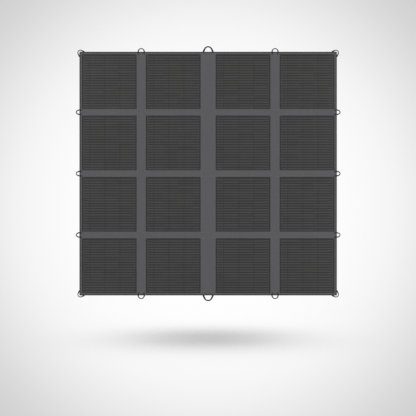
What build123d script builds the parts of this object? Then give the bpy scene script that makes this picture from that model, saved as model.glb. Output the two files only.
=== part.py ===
from build123d import *
import math
import os

# Folding solar blanket, hung by its top carry loop.
# X runs along the width, Z is up, and the cells face -Y. The origin is the point
# inside the crown of the top carry loop where a hook bears.
# "forward" below is the distance in front of the middle of the cloth, towards -Y,
# and "down" is the distance below the top edge of the cloth.

# ---- driving dimensions, millimetres ----
TILE = 290.0  # side of one square cell sheet
ROW_GAP = 36.0  # cloth between two rows of cell sheets
SIDE_GAP = 50.0  # cloth between an outer and an inner column
CENTRE_GAP = 81.0  # cloth between the two inner columns
BORDER = 13.0  # cloth outside the outermost cell sheets
CLOTH = 0.8  # thickness of the cloth, hems included
SHEET = 1.2  # thickness of a cell sheet
SHEET_CORNER = 3.0  # corner radius of a cell sheet
ROWS = 4

LAYER_ROOM = 0.6  # air between two layers of the folded packet
SPINE_ROOM = 1.2  # air between folded-in edge loops and the centre spine
JOINT_ROOM = 0.3  # air between a loop and a body that it doesn't ride on

# elastic tie loops, all lying in the plane of the cloth
TIE_WIDE = 4.8  # width of the flat elastic cord
TIE_THICK = 3.2  # thickness of the flat elastic cord
TIE_PROUD = 21.0  # reach of a tie loop past the edge
END_TIE_SPAN = 40.0  # outside width of the ties on the top and bottom edges
SIDE_TIE_SPAN = 30.0  # outside width of the ties on the two side edges
CORNER_TIE_RADIUS = 18.6  # outside radius of a corner tie
CORNER_TIE_INSET = 5.1  # how far inside both edges a corner tie is centred
CROWN_SHARE = 0.68  # straight crown of an arch as a share of its foot spacing

# carry loops, sewn behind the centre band
CARRY_WIDE = 6.5
CARRY_THICK = 5.0
CARRY_SPAN = 59.0  # outside width at the edge of the cloth
CARRY_PROUD = 31.0  # reach past the edge
CARRY_DEPTH = 10.0  # how far below the edge the cord runs through its tab
CARRY_CROWN_SHARE = 0.5
TAB_WIDTH = 38.0
TAB_HEIGHT = 17.0
TAB_COVER = 0.6  # webbing over the cord
TAB_CORNER = 2.0

# junction box on the back of the inner left sheet of the top row
BOX_WIDTH = 92.0
BOX_HEIGHT = 62.0
BOX_WALL = 2.5
BOX_CORNER = 5.0
BOX_DOWN = 110.0  # the box's middle, below the top edge
COVER = 2.5
COVER_CHAMFER = 0.8
BOSS_RADIUS = 4.2
BOSS_INSET = 7.5  # from the box's outside to a screw's axis
SCREW_RADIUS = 1.5
SCREW_LENGTH = 11.0
SCREW_HEAD_RADIUS = 2.9
SCREW_HEAD = 2.0
SCREW_ROOM = 0.05
DRIVE_RADIUS = 1.0
DRIVE_DEPTH = 1.1
GLAND_BORE = 3.25
GLAND_THREAD_RADIUS = 5.4
GLAND_THREAD = 6.0
GLAND_FLANGE_ACROSS = 14.0
GLAND_FLANGE = 4.0
GLAND_NUT_RADIUS = 6.2
GLAND_NUT = 11.0
GLAND_NUT_ROUND = 2.0
GLAND_ROOM = 0.05
GLAND_EDGE_ROOM = 0.5  # between the gland's flange and the box's front and back
BOX_DEPTH = GLAND_FLANGE_ACROSS + 2 * GLAND_EDGE_ROOM

# ---- the folded packet sets where the creases lie ----
# Rows fold first, cells to cells at the first and third lines and back to back
# at the second. The outer columns then fold in over the inner ones, and the two
# halves close on each other like a book, with the centre band as its spine.
FACE_PITCH = max(CLOTH + 2 * SHEET, TIE_THICK) + LAYER_ROOM
BACK_PITCH = CLOTH + LAYER_ROOM
PACKET = 2 * FACE_PITCH + BACK_PITCH
SIDE_BAND = 2 * PACKET + FACE_PITCH - CLOTH
HALF_PACKET = SIDE_BAND + (CLOTH + TIE_THICK) / 2
CENTRE_BAND = 2 * HALF_PACKET + LAYER_ROOM
FOLD_SHIFT = BORDER + TIE_PROUD + CENTRE_BAND / 2 + SPINE_ROOM - CENTRE_GAP / 2
INNER_MARGIN = (SIDE_GAP - SIDE_BAND + FOLD_SHIFT) / 2

# distances from the centre line
CENTRE_CREASE = CENTRE_BAND / 2
INNER_SHEET = CENTRE_GAP / 2
INNER_CREASE = INNER_SHEET + TILE + INNER_MARGIN
OUTER_CREASE = INNER_CREASE + SIDE_BAND
OUTER_SHEET = INNER_SHEET + TILE + SIDE_GAP
HALF_WIDTH = OUTER_SHEET + TILE + BORDER
SIDE_GAP_MIDDLE = OUTER_SHEET - SIDE_GAP / 2

# distances below the top edge
HEIGHT = 2 * BORDER + ROWS * TILE + (ROWS - 1) * ROW_GAP
ROW_PITCH = TILE + ROW_GAP
ROW_LINES = [BORDER + row * ROW_PITCH - ROW_GAP / 2 for row in range(1, ROWS)]
ROW_EDGES = [0.0] + ROW_LINES + [HEIGHT]

# where the cloth lies in the part's frame
CARRY_BEHIND = CLOTH / 2 + JOINT_ROOM + CARRY_THICK / 2
CLOTH_Y = -CARRY_BEHIND
TOP_Z = CARRY_WIDE - CARRY_PROUD

# column: side of the centre line, nearer edge, further edge, start of the cell sheet
COLUMNS = {
    1: (-1, OUTER_CREASE, HALF_WIDTH, OUTER_SHEET),
    2: (-1, CENTRE_CREASE, INNER_CREASE, INNER_SHEET),
    3: (1, CENTRE_CREASE, INNER_CREASE, INNER_SHEET),
    4: (1, OUTER_CREASE, HALF_WIDTH, OUTER_SHEET),
}
BANDS = {
    "left": (-OUTER_CREASE, -INNER_CREASE),
    "centre": (-CENTRE_CREASE, CENTRE_CREASE),
    "right": (INNER_CREASE, OUTER_CREASE),
}
FAR = 60.0  # past anything that a cut has to clear


def point(x, forward, down):
    """A point in the part's frame."""
    return Vector(x, CLOTH_Y - forward, TOP_Z - down)


def slab(x_range, forward_range, down_range):
    """A box between two distances each way."""
    low = point(min(x_range), max(forward_range), max(down_range))
    high = point(max(x_range), min(forward_range), min(down_range))
    size = high - low
    return Pos(*((low + high) / 2)) * Box(size.X, size.Y, size.Z)


def cloth(x_range, down_range):
    """A flat piece of the cloth."""
    return slab(x_range, (-CLOTH / 2, CLOTH / 2), down_range)


def column_range(column):
    """The cloth of a column, from its lower to its higher x."""
    side, near, far, _ = COLUMNS[column]
    return sorted((side * near, side * far))


def cell_sheet(row, column):
    """One stiff laminated cell sheet on the front of the cloth."""
    side, _, _, start = COLUMNS[column]
    top = BORDER + (row - 1) * ROW_PITCH
    across = sorted((side * start, side * (start + TILE)))
    sheet = slab(across, (CLOTH / 2, CLOTH / 2 + SHEET), (top, top + TILE))
    return fillet(sheet.edges().filter_by(Axis.Y), SHEET_CORNER)


def flat_cord(path, wide, thick):
    """An elliptical cord along a path in the XZ plane."""
    start = Plane(origin=path @ 0, x_dir=(0, 1, 0), z_dir=path % 0)
    return sweep(start * Ellipse(thick / 2, wide / 2), path=path)


def arch(span, proud, wide, thick, crown_share, tail):
    """A loop that stands on z = 0, about the Z axis, with tails below it."""
    foot = (span - wide) / 2
    crown = proud - wide / 2
    shoulder = foot * crown_share
    lean = (foot - shoulder) / crown
    turn = math.radians(90) - math.atan(lean)
    radius = 0.9 * shoulder / math.tan(turn / 2)
    path = FilletPolyline(
        (-foot - lean * tail, 0, -tail),
        (-shoulder, 0, crown),
        (shoulder, 0, crown),
        (foot + lean * tail, 0, -tail),
        radius=radius,
    )
    return flat_cord(path, wide, thick)


def end_tie(side, at_top):
    """A tie on the top or bottom edge, across a side band; it rides on the inner tile."""
    loop = arch(END_TIE_SPAN, TIE_PROUD, TIE_WIDE, TIE_THICK, CROWN_SHARE, TIE_WIDE)
    turned = loop if at_top else Rot(0, 180, 0) * loop
    edge = 0.0 if at_top else HEIGHT
    loop = Pos(*point(side * SIDE_GAP_MIDDLE, 0, edge)) * turned
    inward = edge + FAR if at_top else edge - FAR
    free = edge - JOINT_ROOM if at_top else edge + JOINT_ROOM
    own = slab((0, side * INNER_CREASE), (-FAR, FAR), (edge, inward))
    others = slab((side * INNER_CREASE, side * HALF_WIDTH), (-FAR, FAR), (free, inward))
    return loop - own - others


def side_tie(side, line, rides_above):
    """A tie on a side edge, across a row line; it rides on the tile above or below."""
    loop = arch(SIDE_TIE_SPAN, TIE_PROUD, TIE_WIDE, TIE_THICK, CROWN_SHARE, TIE_WIDE)
    edge = side * HALF_WIDTH
    down = ROW_LINES[line - 1]
    loop = Pos(*point(edge, 0, down)) * Rot(0, side * 90, 0) * loop
    own_end = down - FAR if rides_above else down + FAR
    other_end = down + FAR if rides_above else down - FAR
    own = slab((edge - side * FAR, edge), (-FAR, FAR), (down, own_end))
    free = edge + side * JOINT_ROOM
    other = slab((edge - side * FAR, free), (-FAR, FAR), (down, other_end))
    return loop - own - other


def corner_tie(side, at_top):
    """A round tie about a corner of the blanket, from one edge to the other."""
    edge = side * HALF_WIDTH
    end = 0.0 if at_top else HEIGHT
    inset = CORNER_TIE_INSET if at_top else -CORNER_TIE_INSET
    middle = point(edge - side * CORNER_TIE_INSET, 0, end + inset)
    ring = Edge.make_circle(CORNER_TIE_RADIUS - TIE_WIDE / 2, Plane(middle, z_dir=(0, 1, 0)))
    loop = flat_cord(ring, TIE_WIDE, TIE_THICK)
    inward = end + FAR if at_top else end - FAR
    return loop - slab((edge - side * FAR, edge), (-FAR, FAR), (end, inward))


def carry_loop(at_top):
    """A thick loop behind the centre band, with the tab that holds it."""
    foot = (CARRY_SPAN - CARRY_WIDE) / 2
    crown = CARRY_PROUD - CARRY_WIDE / 2
    shoulder = foot * CARRY_CROWN_SHARE
    lean = (foot - shoulder) / crown
    low = foot + lean * CARRY_DEPTH
    radius = 2 * CARRY_WIDE
    corners = [
        (-1, 0, -CARRY_DEPTH),
        (-low, 0, -CARRY_DEPTH),
        (-shoulder, 0, crown),
        (shoulder, 0, crown),
        (low, 0, -CARRY_DEPTH),
        (1, 0, -CARRY_DEPTH),
    ]
    bend = CARRY_WIDE
    path = FilletPolyline(*corners, radius=[bend, radius, radius, bend])
    loop = flat_cord(path, CARRY_WIDE, CARRY_THICK)
    edge = 0.0 if at_top else HEIGHT
    turned = loop if at_top else Rot(0, 180, 0) * loop
    loop = Pos(*point(0, -CARRY_BEHIND, edge)) * turned
    inward = 1 if at_top else -1
    middle = edge + inward * CARRY_DEPTH
    behind = CARRY_BEHIND + CARRY_THICK / 2 + TAB_COVER
    tab = slab(
        (-TAB_WIDTH / 2, TAB_WIDTH / 2),
        (-CLOTH / 2, -behind),
        (middle - TAB_HEIGHT / 2, middle + TAB_HEIGHT / 2),
    )
    tab = fillet(tab.edges().filter_by(Axis.Y), TAB_CORNER)
    return loop + tab


# ---- junction box ----
BOX_X = -(INNER_SHEET + TILE / 2)
BOX_SEAT = -CLOTH / 2
BOX_MIDDLE = point(BOX_X, BOX_SEAT - BOX_DEPTH / 2, BOX_DOWN)
SCREW_X = BOX_WIDTH / 2 - BOSS_INSET
SCREW_Z = BOX_HEIGHT / 2 - BOSS_INSET
SCREW_PLACES = [(x, z) for x in (-SCREW_X, SCREW_X) for z in (-SCREW_Z, SCREW_Z)]


def rod(radius, length):
    """A cylinder along +Y from the origin."""
    return Rot(-90, 0, 0) * Cylinder(radius, length, align=(Align.CENTER, Align.CENTER, Align.MIN))


def box_base():
    """The open shell that sits on the cloth, with screw bosses and the gland's hole."""
    shell = Box(BOX_WIDTH, BOX_DEPTH, BOX_HEIGHT)
    shell = fillet(shell.edges().filter_by(Axis.Y), BOX_CORNER)
    hollow = Box(BOX_WIDTH - 2 * BOX_WALL, BOX_DEPTH, BOX_HEIGHT - 2 * BOX_WALL)
    hollow = fillet(hollow.edges().filter_by(Axis.Y), BOX_CORNER - BOX_WALL)
    shell -= Pos(0, BOX_WALL, 0) * hollow
    boss_length = BOX_DEPTH - BOX_WALL
    for x, z in SCREW_PLACES:
        start = Pos(x, BOX_WALL - BOX_DEPTH / 2, z)
        shell += start * rod(BOSS_RADIUS, boss_length)
    hole_depth = SCREW_LENGTH - COVER + SCREW_ROOM
    for x, z in SCREW_PLACES:
        end = Pos(x, BOX_DEPTH / 2 - hole_depth, z)
        shell -= end * rod(SCREW_RADIUS + SCREW_ROOM, hole_depth)
    drill = Cylinder(GLAND_THREAD_RADIUS + GLAND_ROOM, 2 * (GLAND_THREAD + GLAND_ROOM))
    shell -= Pos(0, 0, -BOX_HEIGHT / 2) * drill
    return Pos(*BOX_MIDDLE) * shell


def box_cover():
    """The lid, with a clearance hole for each screw."""
    lid = Box(BOX_WIDTH, COVER, BOX_HEIGHT)
    lid = fillet(lid.edges().filter_by(Axis.Y), BOX_CORNER)
    lid = chamfer(lid.faces().sort_by(Axis.Y)[-1].edges(), COVER_CHAMFER)
    for x, z in SCREW_PLACES:
        lid -= Pos(x, -COVER / 2, z) * rod(SCREW_RADIUS + 2 * SCREW_ROOM, COVER)
    return Pos(BOX_MIDDLE.X, BOX_MIDDLE.Y + (BOX_DEPTH + COVER) / 2, BOX_MIDDLE.Z) * lid


def box_screws():
    """The four cover screws, each with a round drive recess."""
    seat = BOX_MIDDLE.Y + BOX_DEPTH / 2 + COVER
    screw = Pos(0, -SCREW_LENGTH, 0) * rod(SCREW_RADIUS, SCREW_LENGTH)
    screw += rod(SCREW_HEAD_RADIUS, SCREW_HEAD)
    screw -= Pos(0, SCREW_HEAD - DRIVE_DEPTH, 0) * rod(DRIVE_RADIUS, DRIVE_DEPTH)
    places = [Pos(BOX_MIDDLE.X + x, seat, BOX_MIDDLE.Z + z) for x, z in SCREW_PLACES]
    return Compound(children=[place * screw for place in places])


def cable_gland():
    """The gland that clamps the output lead, pointing down."""
    down = (Align.CENTER, Align.CENTER, Align.MAX)
    up = (Align.CENTER, Align.CENTER, Align.MIN)
    gland = Cylinder(GLAND_THREAD_RADIUS, GLAND_THREAD, align=up)
    flange = RegularPolygon(GLAND_FLANGE_ACROSS / 2, 6, major_radius=False)
    gland += Pos(0, 0, -GLAND_FLANGE) * extrude(flange, GLAND_FLANGE)
    nut = Pos(0, 0, -GLAND_FLANGE) * Cylinder(GLAND_NUT_RADIUS, GLAND_NUT, align=down)
    nut = fillet(nut.edges().filter_by(GeomType.CIRCLE).sort_by(Axis.Z)[0], GLAND_NUT_ROUND)
    gland += nut
    gland -= Cylinder(GLAND_BORE, 2 * BOX_HEIGHT)
    return Pos(BOX_MIDDLE.X, BOX_MIDDLE.Y, BOX_MIDDLE.Z - BOX_HEIGHT / 2) * gland


def all_nodes():
    """Every piece of the blanket, by the name of its node."""
    nodes = {}
    for row in range(1, ROWS + 1):
        down_range = (ROW_EDGES[row - 1], ROW_EDGES[row])
        for column in COLUMNS:
            nodes[f"cell_sheet_r{row}c{column}"] = cell_sheet(row, column)
            nodes[f"tile_cloth_r{row}c{column}"] = cloth(column_range(column), down_range)
        for band, x_range in BANDS.items():
            nodes[f"band_cloth_r{row}_{band}"] = cloth(x_range, down_range)
    for name, side in (("left", -1), ("right", 1)):
        nodes[f"ties_top_{name}"] = Compound(
            children=[corner_tie(side, True), side_tie(side, 1, True)]
        )
        nodes[f"tie_middle_{name}"] = side_tie(side, 2, True)
        nodes[f"ties_bottom_{name}"] = Compound(
            children=[corner_tie(side, False), side_tie(side, 3, False)]
        )
        nodes[f"end_tie_top_{name}"] = end_tie(side, True)
        nodes[f"end_tie_bottom_{name}"] = end_tie(side, False)
    nodes["carry_loop_top"] = carry_loop(True)
    nodes["carry_loop_bottom"] = carry_loop(False)
    nodes["junction_box_base"] = box_base()
    nodes["junction_box_cover"] = box_cover()
    nodes["junction_box_screws"] = box_screws()
    nodes["cable_gland"] = cable_gland()
    return nodes


os.makedirs("parts", exist_ok=True)
for name, piece in all_nodes().items():
    export_step(piece, f"parts/{name}.step")
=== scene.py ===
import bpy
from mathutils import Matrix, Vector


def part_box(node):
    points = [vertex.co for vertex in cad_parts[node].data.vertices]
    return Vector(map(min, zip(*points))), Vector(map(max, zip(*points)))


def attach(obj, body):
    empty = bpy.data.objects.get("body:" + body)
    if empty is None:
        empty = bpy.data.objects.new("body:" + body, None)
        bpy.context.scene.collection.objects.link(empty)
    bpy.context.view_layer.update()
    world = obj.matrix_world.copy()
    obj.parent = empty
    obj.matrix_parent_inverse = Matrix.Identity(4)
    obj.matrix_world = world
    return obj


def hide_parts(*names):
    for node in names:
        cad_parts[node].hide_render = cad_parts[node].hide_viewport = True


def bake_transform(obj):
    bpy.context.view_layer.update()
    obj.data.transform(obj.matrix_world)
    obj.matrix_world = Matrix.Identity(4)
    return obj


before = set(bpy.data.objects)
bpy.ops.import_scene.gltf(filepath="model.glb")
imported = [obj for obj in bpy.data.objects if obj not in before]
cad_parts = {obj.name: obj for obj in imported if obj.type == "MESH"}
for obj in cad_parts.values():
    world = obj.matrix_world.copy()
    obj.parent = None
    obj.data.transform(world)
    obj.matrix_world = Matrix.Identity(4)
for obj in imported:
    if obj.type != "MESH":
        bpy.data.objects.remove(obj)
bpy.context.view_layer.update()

import logging
import math
from dataclasses import dataclass, field, replace
from enum import Enum
from typing import Callable, Iterable, Sequence

import bpy
from mathutils import Vector

# A folding solar blanket, hung by its top carry loop. X runs along the width, Z is up and
# the cells face -Y. "forward" is the distance in front of the middle of the cloth. Rows are
# counted from the top and columns from the left. Everything is in metres.

MM = 0.001
ROWS = range(1, 5)
COLUMNS = range(1, 5)
FIRST_ROW, LAST_ROW = 1, 4
TOUCH = 1e-7
LOG = logging.getLogger("solar_blanket")

# One stitch's section along its length: the share of the way, how far it stands off the
# surface as a share of its rise, and its thickness as a share of the thread's.
STITCH = ((0.0, -0.6, 0.55), (0.25, 0.75, 1.0), (0.75, 0.75, 1.0), (1.0, -0.6, 0.55))

# The cloth's puckers: each wave's share, its lengths along X and Z and its start in radians.
PUCKERS = ((0.6, 21 * MM, 34 * MM, 0.0), (0.4, 47 * MM, -19 * MM, 1.3))

# How bright the surround is from straight in front of the blanket (0) to straight behind it (1).
SURROUND = (
    (0.0, 0.80),
    (0.45, 0.76),
    (0.868, 0.60),
    (0.905, 0.645),
    (0.940, 0.87),
    (0.965, 0.955),
    (0.985, 0.99),
    (1.0, 0.995),
)

# Blender's wave texture turns through this many radians in a metre at a scale of 1.
WAVE_RADIANS = 20.0

# How far a cubic curve's crown comes of the way out to its two middle control points.
CURVE_CROWN = 0.75

Point = tuple[float, float, float]
Spot = tuple[float, float]
Range = tuple[float, float]
Face = tuple[int, ...]
Piece = bpy.types.Object
Socket = bpy.types.NodeSocket
Material = bpy.types.Material


class Slot(Enum):
    """The record's finishes by name; each piece is passed one, but nothing reads it."""

    CLOTH = "coated_cloth"
    CELL = "cell_laminate"
    ELASTIC = "elastic_cord"
    BOX = "box_plastic"
    GLAND = "gland_plastic"
    SCREW = "screw_steel"


class Side(Enum):
    """The two sides of the cloth, by the way that each faces along "forward"."""

    FRONT = 1
    BACK = -1


# ---------------------------------------------------------------- small maths


def smooth(share: float) -> float:
    """Ease a share from 0 to 1 with level ends."""
    share = min(max(share, 0.0), 1.0)
    return share * share * (3 - 2 * share)


def stations(start: float, end: float, step: float) -> list[float]:
    """Even stations from start to end, no further apart than step."""
    count = max(1, math.ceil(abs(end - start) / step - 1e-9))
    return [start + (end - start) * n / count for n in range(count + 1)]


def merged(values: Iterable[float], apart: float = 0.2 * MM) -> list[float]:
    """Sort values, and drop those that all but repeat another.

    Args:
        values: the values in any order.
        apart: how far apart two kept values have to be.

    Returns:
        The kept values, smallest first.
    """
    kept: list[float] = []
    for value in sorted(values):
        if not kept or value - kept[-1] > apart:
            kept.append(value)
    return kept


def stitch_ends(start: Spot, end: Spot, pitch: float, gap: float) -> list[tuple[Spot, Spot]]:
    """Divide a straight seam into even stitches.

    Args:
        start: x and z of the first needle hole.
        end: x and z of the last needle hole.
        pitch: about how far apart the needle holes are.
        gap: the share of a stitch that is left bare at each of its ends.

    Returns:
        Where each stitch starts and ends, as x and z.
    """
    run_x, run_z = end[0] - start[0], end[1] - start[1]
    count = max(1, round(math.hypot(run_x, run_z) / pitch))

    def spot(share: float) -> Spot:
        """The place at a share of the seam."""
        return start[0] + run_x * share, start[1] + run_z * share

    return [(spot((n + gap) / count), spot((n + 1 - gap) / count)) for n in range(count)]


# ---------------------------------------------------------------- layout


@dataclass(frozen=True)
class Rect:
    """A rectangle in the plane of the cloth, by its left and right and its bottom and top."""

    left: float
    right: float
    bottom: float
    top: float

    def grown(self, by: float) -> "Rect":
        """The rectangle with every side moved out by a distance."""
        return Rect(self.left - by, self.right + by, self.bottom - by, self.top + by)

    def within(self, x: float, z: float) -> bool:
        """Whether a point lies inside."""
        return self.left < x < self.right and self.bottom < z < self.top

    def outline(self) -> list[Spot]:
        """The corners, from the bottom left one round and back to it."""
        bottom = [(self.left, self.bottom), (self.right, self.bottom)]
        return bottom + [(self.right, self.top), (self.left, self.top), bottom[0]]

    def rounded(self, radius: float, steps: int) -> list[Spot]:
        """The outline with its corners rounded.

        Args:
            radius: the radius of the corners.
            steps: how many short sides make up one corner.

        Returns:
            The points round the outline, from the top right corner on.
        """
        inner = self.grown(-radius)
        _, bottom_right, top_right, top_left, bottom_left = inner.outline()
        points = []
        for quarter, (x, z) in enumerate((top_right, top_left, bottom_left, bottom_right)):
            for n in range(steps + 1):
                angle = math.radians(90 * (quarter + n / steps))
                points.append((x + radius * math.cos(angle), z + radius * math.sin(angle)))
        return points


@dataclass(frozen=True)
class Layout:
    """Where the cloth, its creases and its cell sheets lie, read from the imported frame."""

    cloth_y: float
    half_cloth: float
    sheet_forward: float
    edge: Rect
    creases: tuple[float, ...]
    row_lines: tuple[float, ...]
    cells: dict[tuple[int, int], Rect]

    @classmethod
    def from_frame(cls) -> "Layout":
        """Read the layout from the boxes of the CAD nodes.

        Returns:
            The layout.
        """
        low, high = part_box("tile_cloth_r1c1")
        cloth_y, half = (low.y + high.y) / 2, (high.y - low.y) / 2
        edge = Rect(low.x, -low.x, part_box(f"tile_cloth_r{LAST_ROW}c1")[0].z, high.z)
        creases = []
        for band in ("left", "centre", "right"):
            creases += [corner.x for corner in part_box(f"band_cloth_r1_{band}")]
        lines = tuple(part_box(f"tile_cloth_r{row}c1")[0].z for row in ROWS if row < LAST_ROW)
        cells = {}
        for row in ROWS:
            for column in COLUMNS:
                sheet_low, sheet_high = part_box(f"cell_sheet_r{row}c{column}")
                cells[row, column] = Rect(sheet_low.x, sheet_high.x, sheet_low.z, sheet_high.z)
        sheet_forward = cloth_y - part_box("cell_sheet_r1c1")[0].y
        return cls(cloth_y, half, sheet_forward, edge, tuple(creases), lines, cells)

    def at(self, x: float, forward: float, z: float) -> Point:
        """A point a distance in front of the middle of the cloth."""
        return (x, self.cloth_y - forward, z)

    def middle_z(self) -> float:
        """The height halfway up the cloth."""
        return (self.edge.top + self.edge.bottom) / 2

    def strips(self) -> dict[str, Range]:
        """The seven upright strips of cloth.

        Returns:
            The left and right ends of each strip, by its name.
        """
        ends = [self.edge.left, *self.creases, self.edge.right]
        names = ["c1", "left", "c2", "centre", "c3", "right", "c4"]
        return {name: (ends[n], ends[n + 1]) for n, name in enumerate(names)}

    def row_range(self, row: int) -> Range:
        """The bottom and top of a row."""
        heights = [self.edge.top, *self.row_lines, self.edge.bottom]
        return heights[row], heights[row - 1]

    def ends(self) -> tuple[tuple[str, int, float, int], ...]:
        """The top and bottom edges, each as its name, its row, its height and 1 for up or -1."""
        return (("top", FIRST_ROW, self.edge.top, 1), ("bottom", LAST_ROW, self.edge.bottom, -1))

    def sides(self) -> tuple[tuple[str, str, float, int], ...]:
        """The left and right edges, each as its name, its strip, its x and -1 for left or 1."""
        return (("left", "c1", self.edge.left, -1), ("right", "c4", self.edge.right, 1))


def is_tile(strip: str) -> bool:
    """Whether a strip is a column of tiles, and not a band between two."""
    return strip in {f"c{column}" for column in COLUMNS}


def body_name(strip: str, row: int) -> str:
    """The body that carries a strip of cloth in a row."""
    return f"tile_r{row}{strip}" if is_tile(strip) else f"band_r{row}_{strip}"


def cloth_node(strip: str, row: int) -> str:
    """The CAD node of a strip of cloth in a row."""
    return f"tile_cloth_r{row}{strip}" if is_tile(strip) else f"band_cloth_r{row}_{strip}"


# ---------------------------------------------------------------- meshes


@dataclass
class Shape:
    """Points and faces that grow into one mesh, each face with the number of its finish."""

    points: list[Point] = field(default_factory=list)
    faces: list[Face] = field(default_factory=list)
    finish: list[int] = field(default_factory=list)

    def add(self, points: Iterable[Point], faces: Iterable[Face], finish: int = 0) -> None:
        """Add points, and faces between them.

        Args:
            points: the new points.
            faces: faces that count from the first new point.
            finish: the number of the faces' finish.
        """
        start = len(self.points)
        self.points += [tuple(p) for p in points]
        for face in faces:
            self.faces.append(tuple(start + n for n in face))
            self.finish.append(finish)

    def tube(self, rings: Sequence[Sequence[Point]], finish: int = 0) -> None:
        """Join rings of points into a tube with capped ends.

        Args:
            rings: rings of equally many points, all in the same sense.
            finish: the number of the finish.
        """
        around, count = len(rings[0]), len(rings)
        faces: list[Face] = []
        for n in range(count - 1):
            here, there = n * around, (n + 1) * around
            for k in range(around):
                after = (k + 1) % around
                faces.append((here + k, here + after, there + after, there + k))
        faces.append(tuple(reversed(range(around))))
        faces.append(tuple(range((count - 1) * around, count * around)))
        self.add([p for ring in rings for p in ring], faces, finish)

    def quilt(self, front: Sequence[Point], back: Sequence[Point], wide: int) -> None:
        """Add a closed sheet between a grid of points in front and one behind.

        Args:
            front: the front's points, line by line from the bottom.
            back: the back's points in the same order.
            wide: how many points there are in a line.
        """
        count, tall = len(front), len(front) // wide
        faces: list[Face] = []
        for j in range(tall - 1):
            for a in range(j * wide, (j + 1) * wide - 1):
                faces.append((a, a + 1, a + 1 + wide, a + wide))
                faces.append((count + a, count + a + wide, count + a + 1 + wide, count + a + 1))
        for a in range(wide - 1):
            b = (tall - 1) * wide + a
            faces.append((a, count + a, count + a + 1, a + 1))
            faces.append((b, b + 1, count + b + 1, count + b))
        for j in range(tall - 1):
            a, b = j * wide, (j + 1) * wide - 1
            faces.append((a, a + wide, count + a + wide, count + a))
            faces.append((b, count + b, count + b + wide, b + wide))
        self.add([*front, *back], faces)

    def lozenge(
        self, ends: Sequence[Vector], out: Vector, radius: float, rise: float, finish: int = 0
    ) -> None:
        """One stitch: a short thread that dives into the cloth at both ends.

        Args:
            ends: where the thread comes out of the cloth and where it goes back in.
            out: the way that the surface faces.
            radius: half the thread's thickness.
            rise: how far the thread's middle stands off the surface.
            finish: the number of its finish.
        """
        start, end = ends
        side = (end - start).normalized().cross(out).normalized() * radius
        rings = []
        for share, lift, size in STITCH:
            middle = start.lerp(end, share) + out * rise * lift
            up, wide = out * radius * size, side * size
            rings.append([tuple(middle + way) for way in (wide, up, -wide, -up)])
        self.tube(rings, finish)

    def to_object(self, name: str, finishes: Sequence[Material], flat: bool = False) -> Piece:
        """Make the Blender object.

        Args:
            name: the piece's name.
            finishes: the materials, in the order of the faces' finish numbers.
            flat: True to leave the faces flat-shaded.

        Returns:
            The new object.
        """
        mesh = bpy.data.meshes.new(name)
        mesh.from_pydata(self.points, [], self.faces)
        for material in finishes:
            mesh.materials.append(material)
        mesh.polygons.foreach_set("material_index", self.finish)
        mesh.polygons.foreach_set("use_smooth", [not flat] * len(self.faces))
        mesh.update()
        piece = bpy.data.objects.new(name, mesh)
        bpy.context.scene.collection.objects.link(piece)
        return piece


def soften(piece: Piece, angle: float) -> None:
    """Keep a piece's sharper edges crisp, and shade the rest smooth.

    Args:
        piece: the piece.
        angle: the angle in degrees above which an edge stays crisp.
    """
    mesh = piece.data
    limit = math.radians(angle)
    normals = [p.normal.copy() for p in mesh.polygons]
    faces_of: dict[tuple[int, int], list[int]] = {}
    for polygon in mesh.polygons:
        for key in polygon.edge_keys:
            faces_of.setdefault(key, []).append(polygon.index)
    sharp = []
    for edge in mesh.edges:
        sides = faces_of.get(tuple(sorted(edge.vertices)), [])
        sharp.append(len(sides) == 2 and normals[sides[0]].angle(normals[sides[1]], 0.0) > limit)
    attribute = mesh.attributes.get("sharp_edge")
    attribute = attribute or mesh.attributes.new("sharp_edge", "BOOLEAN", "EDGE")
    attribute.data.foreach_set("value", sharp)
    mesh.update()


def declare(piece: Piece, slot: Slot, node: str = "", body: str = "") -> None:
    """Hide the CAD node that a piece stands for, put the piece on its body, and log its face
    count.

    Args:
        piece: the piece.
        slot: not used.
        node: the CAD node that it stands for, if it stands for one.
        body: the body that it rides on, unless it bends between two.
    """
    if node:
        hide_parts(node)
    if body:
        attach(piece, body)
    LOG.info("%s: %d faces", piece.name, len(piece.data.polygons))


# ---------------------------------------------------------------- finishes


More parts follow.
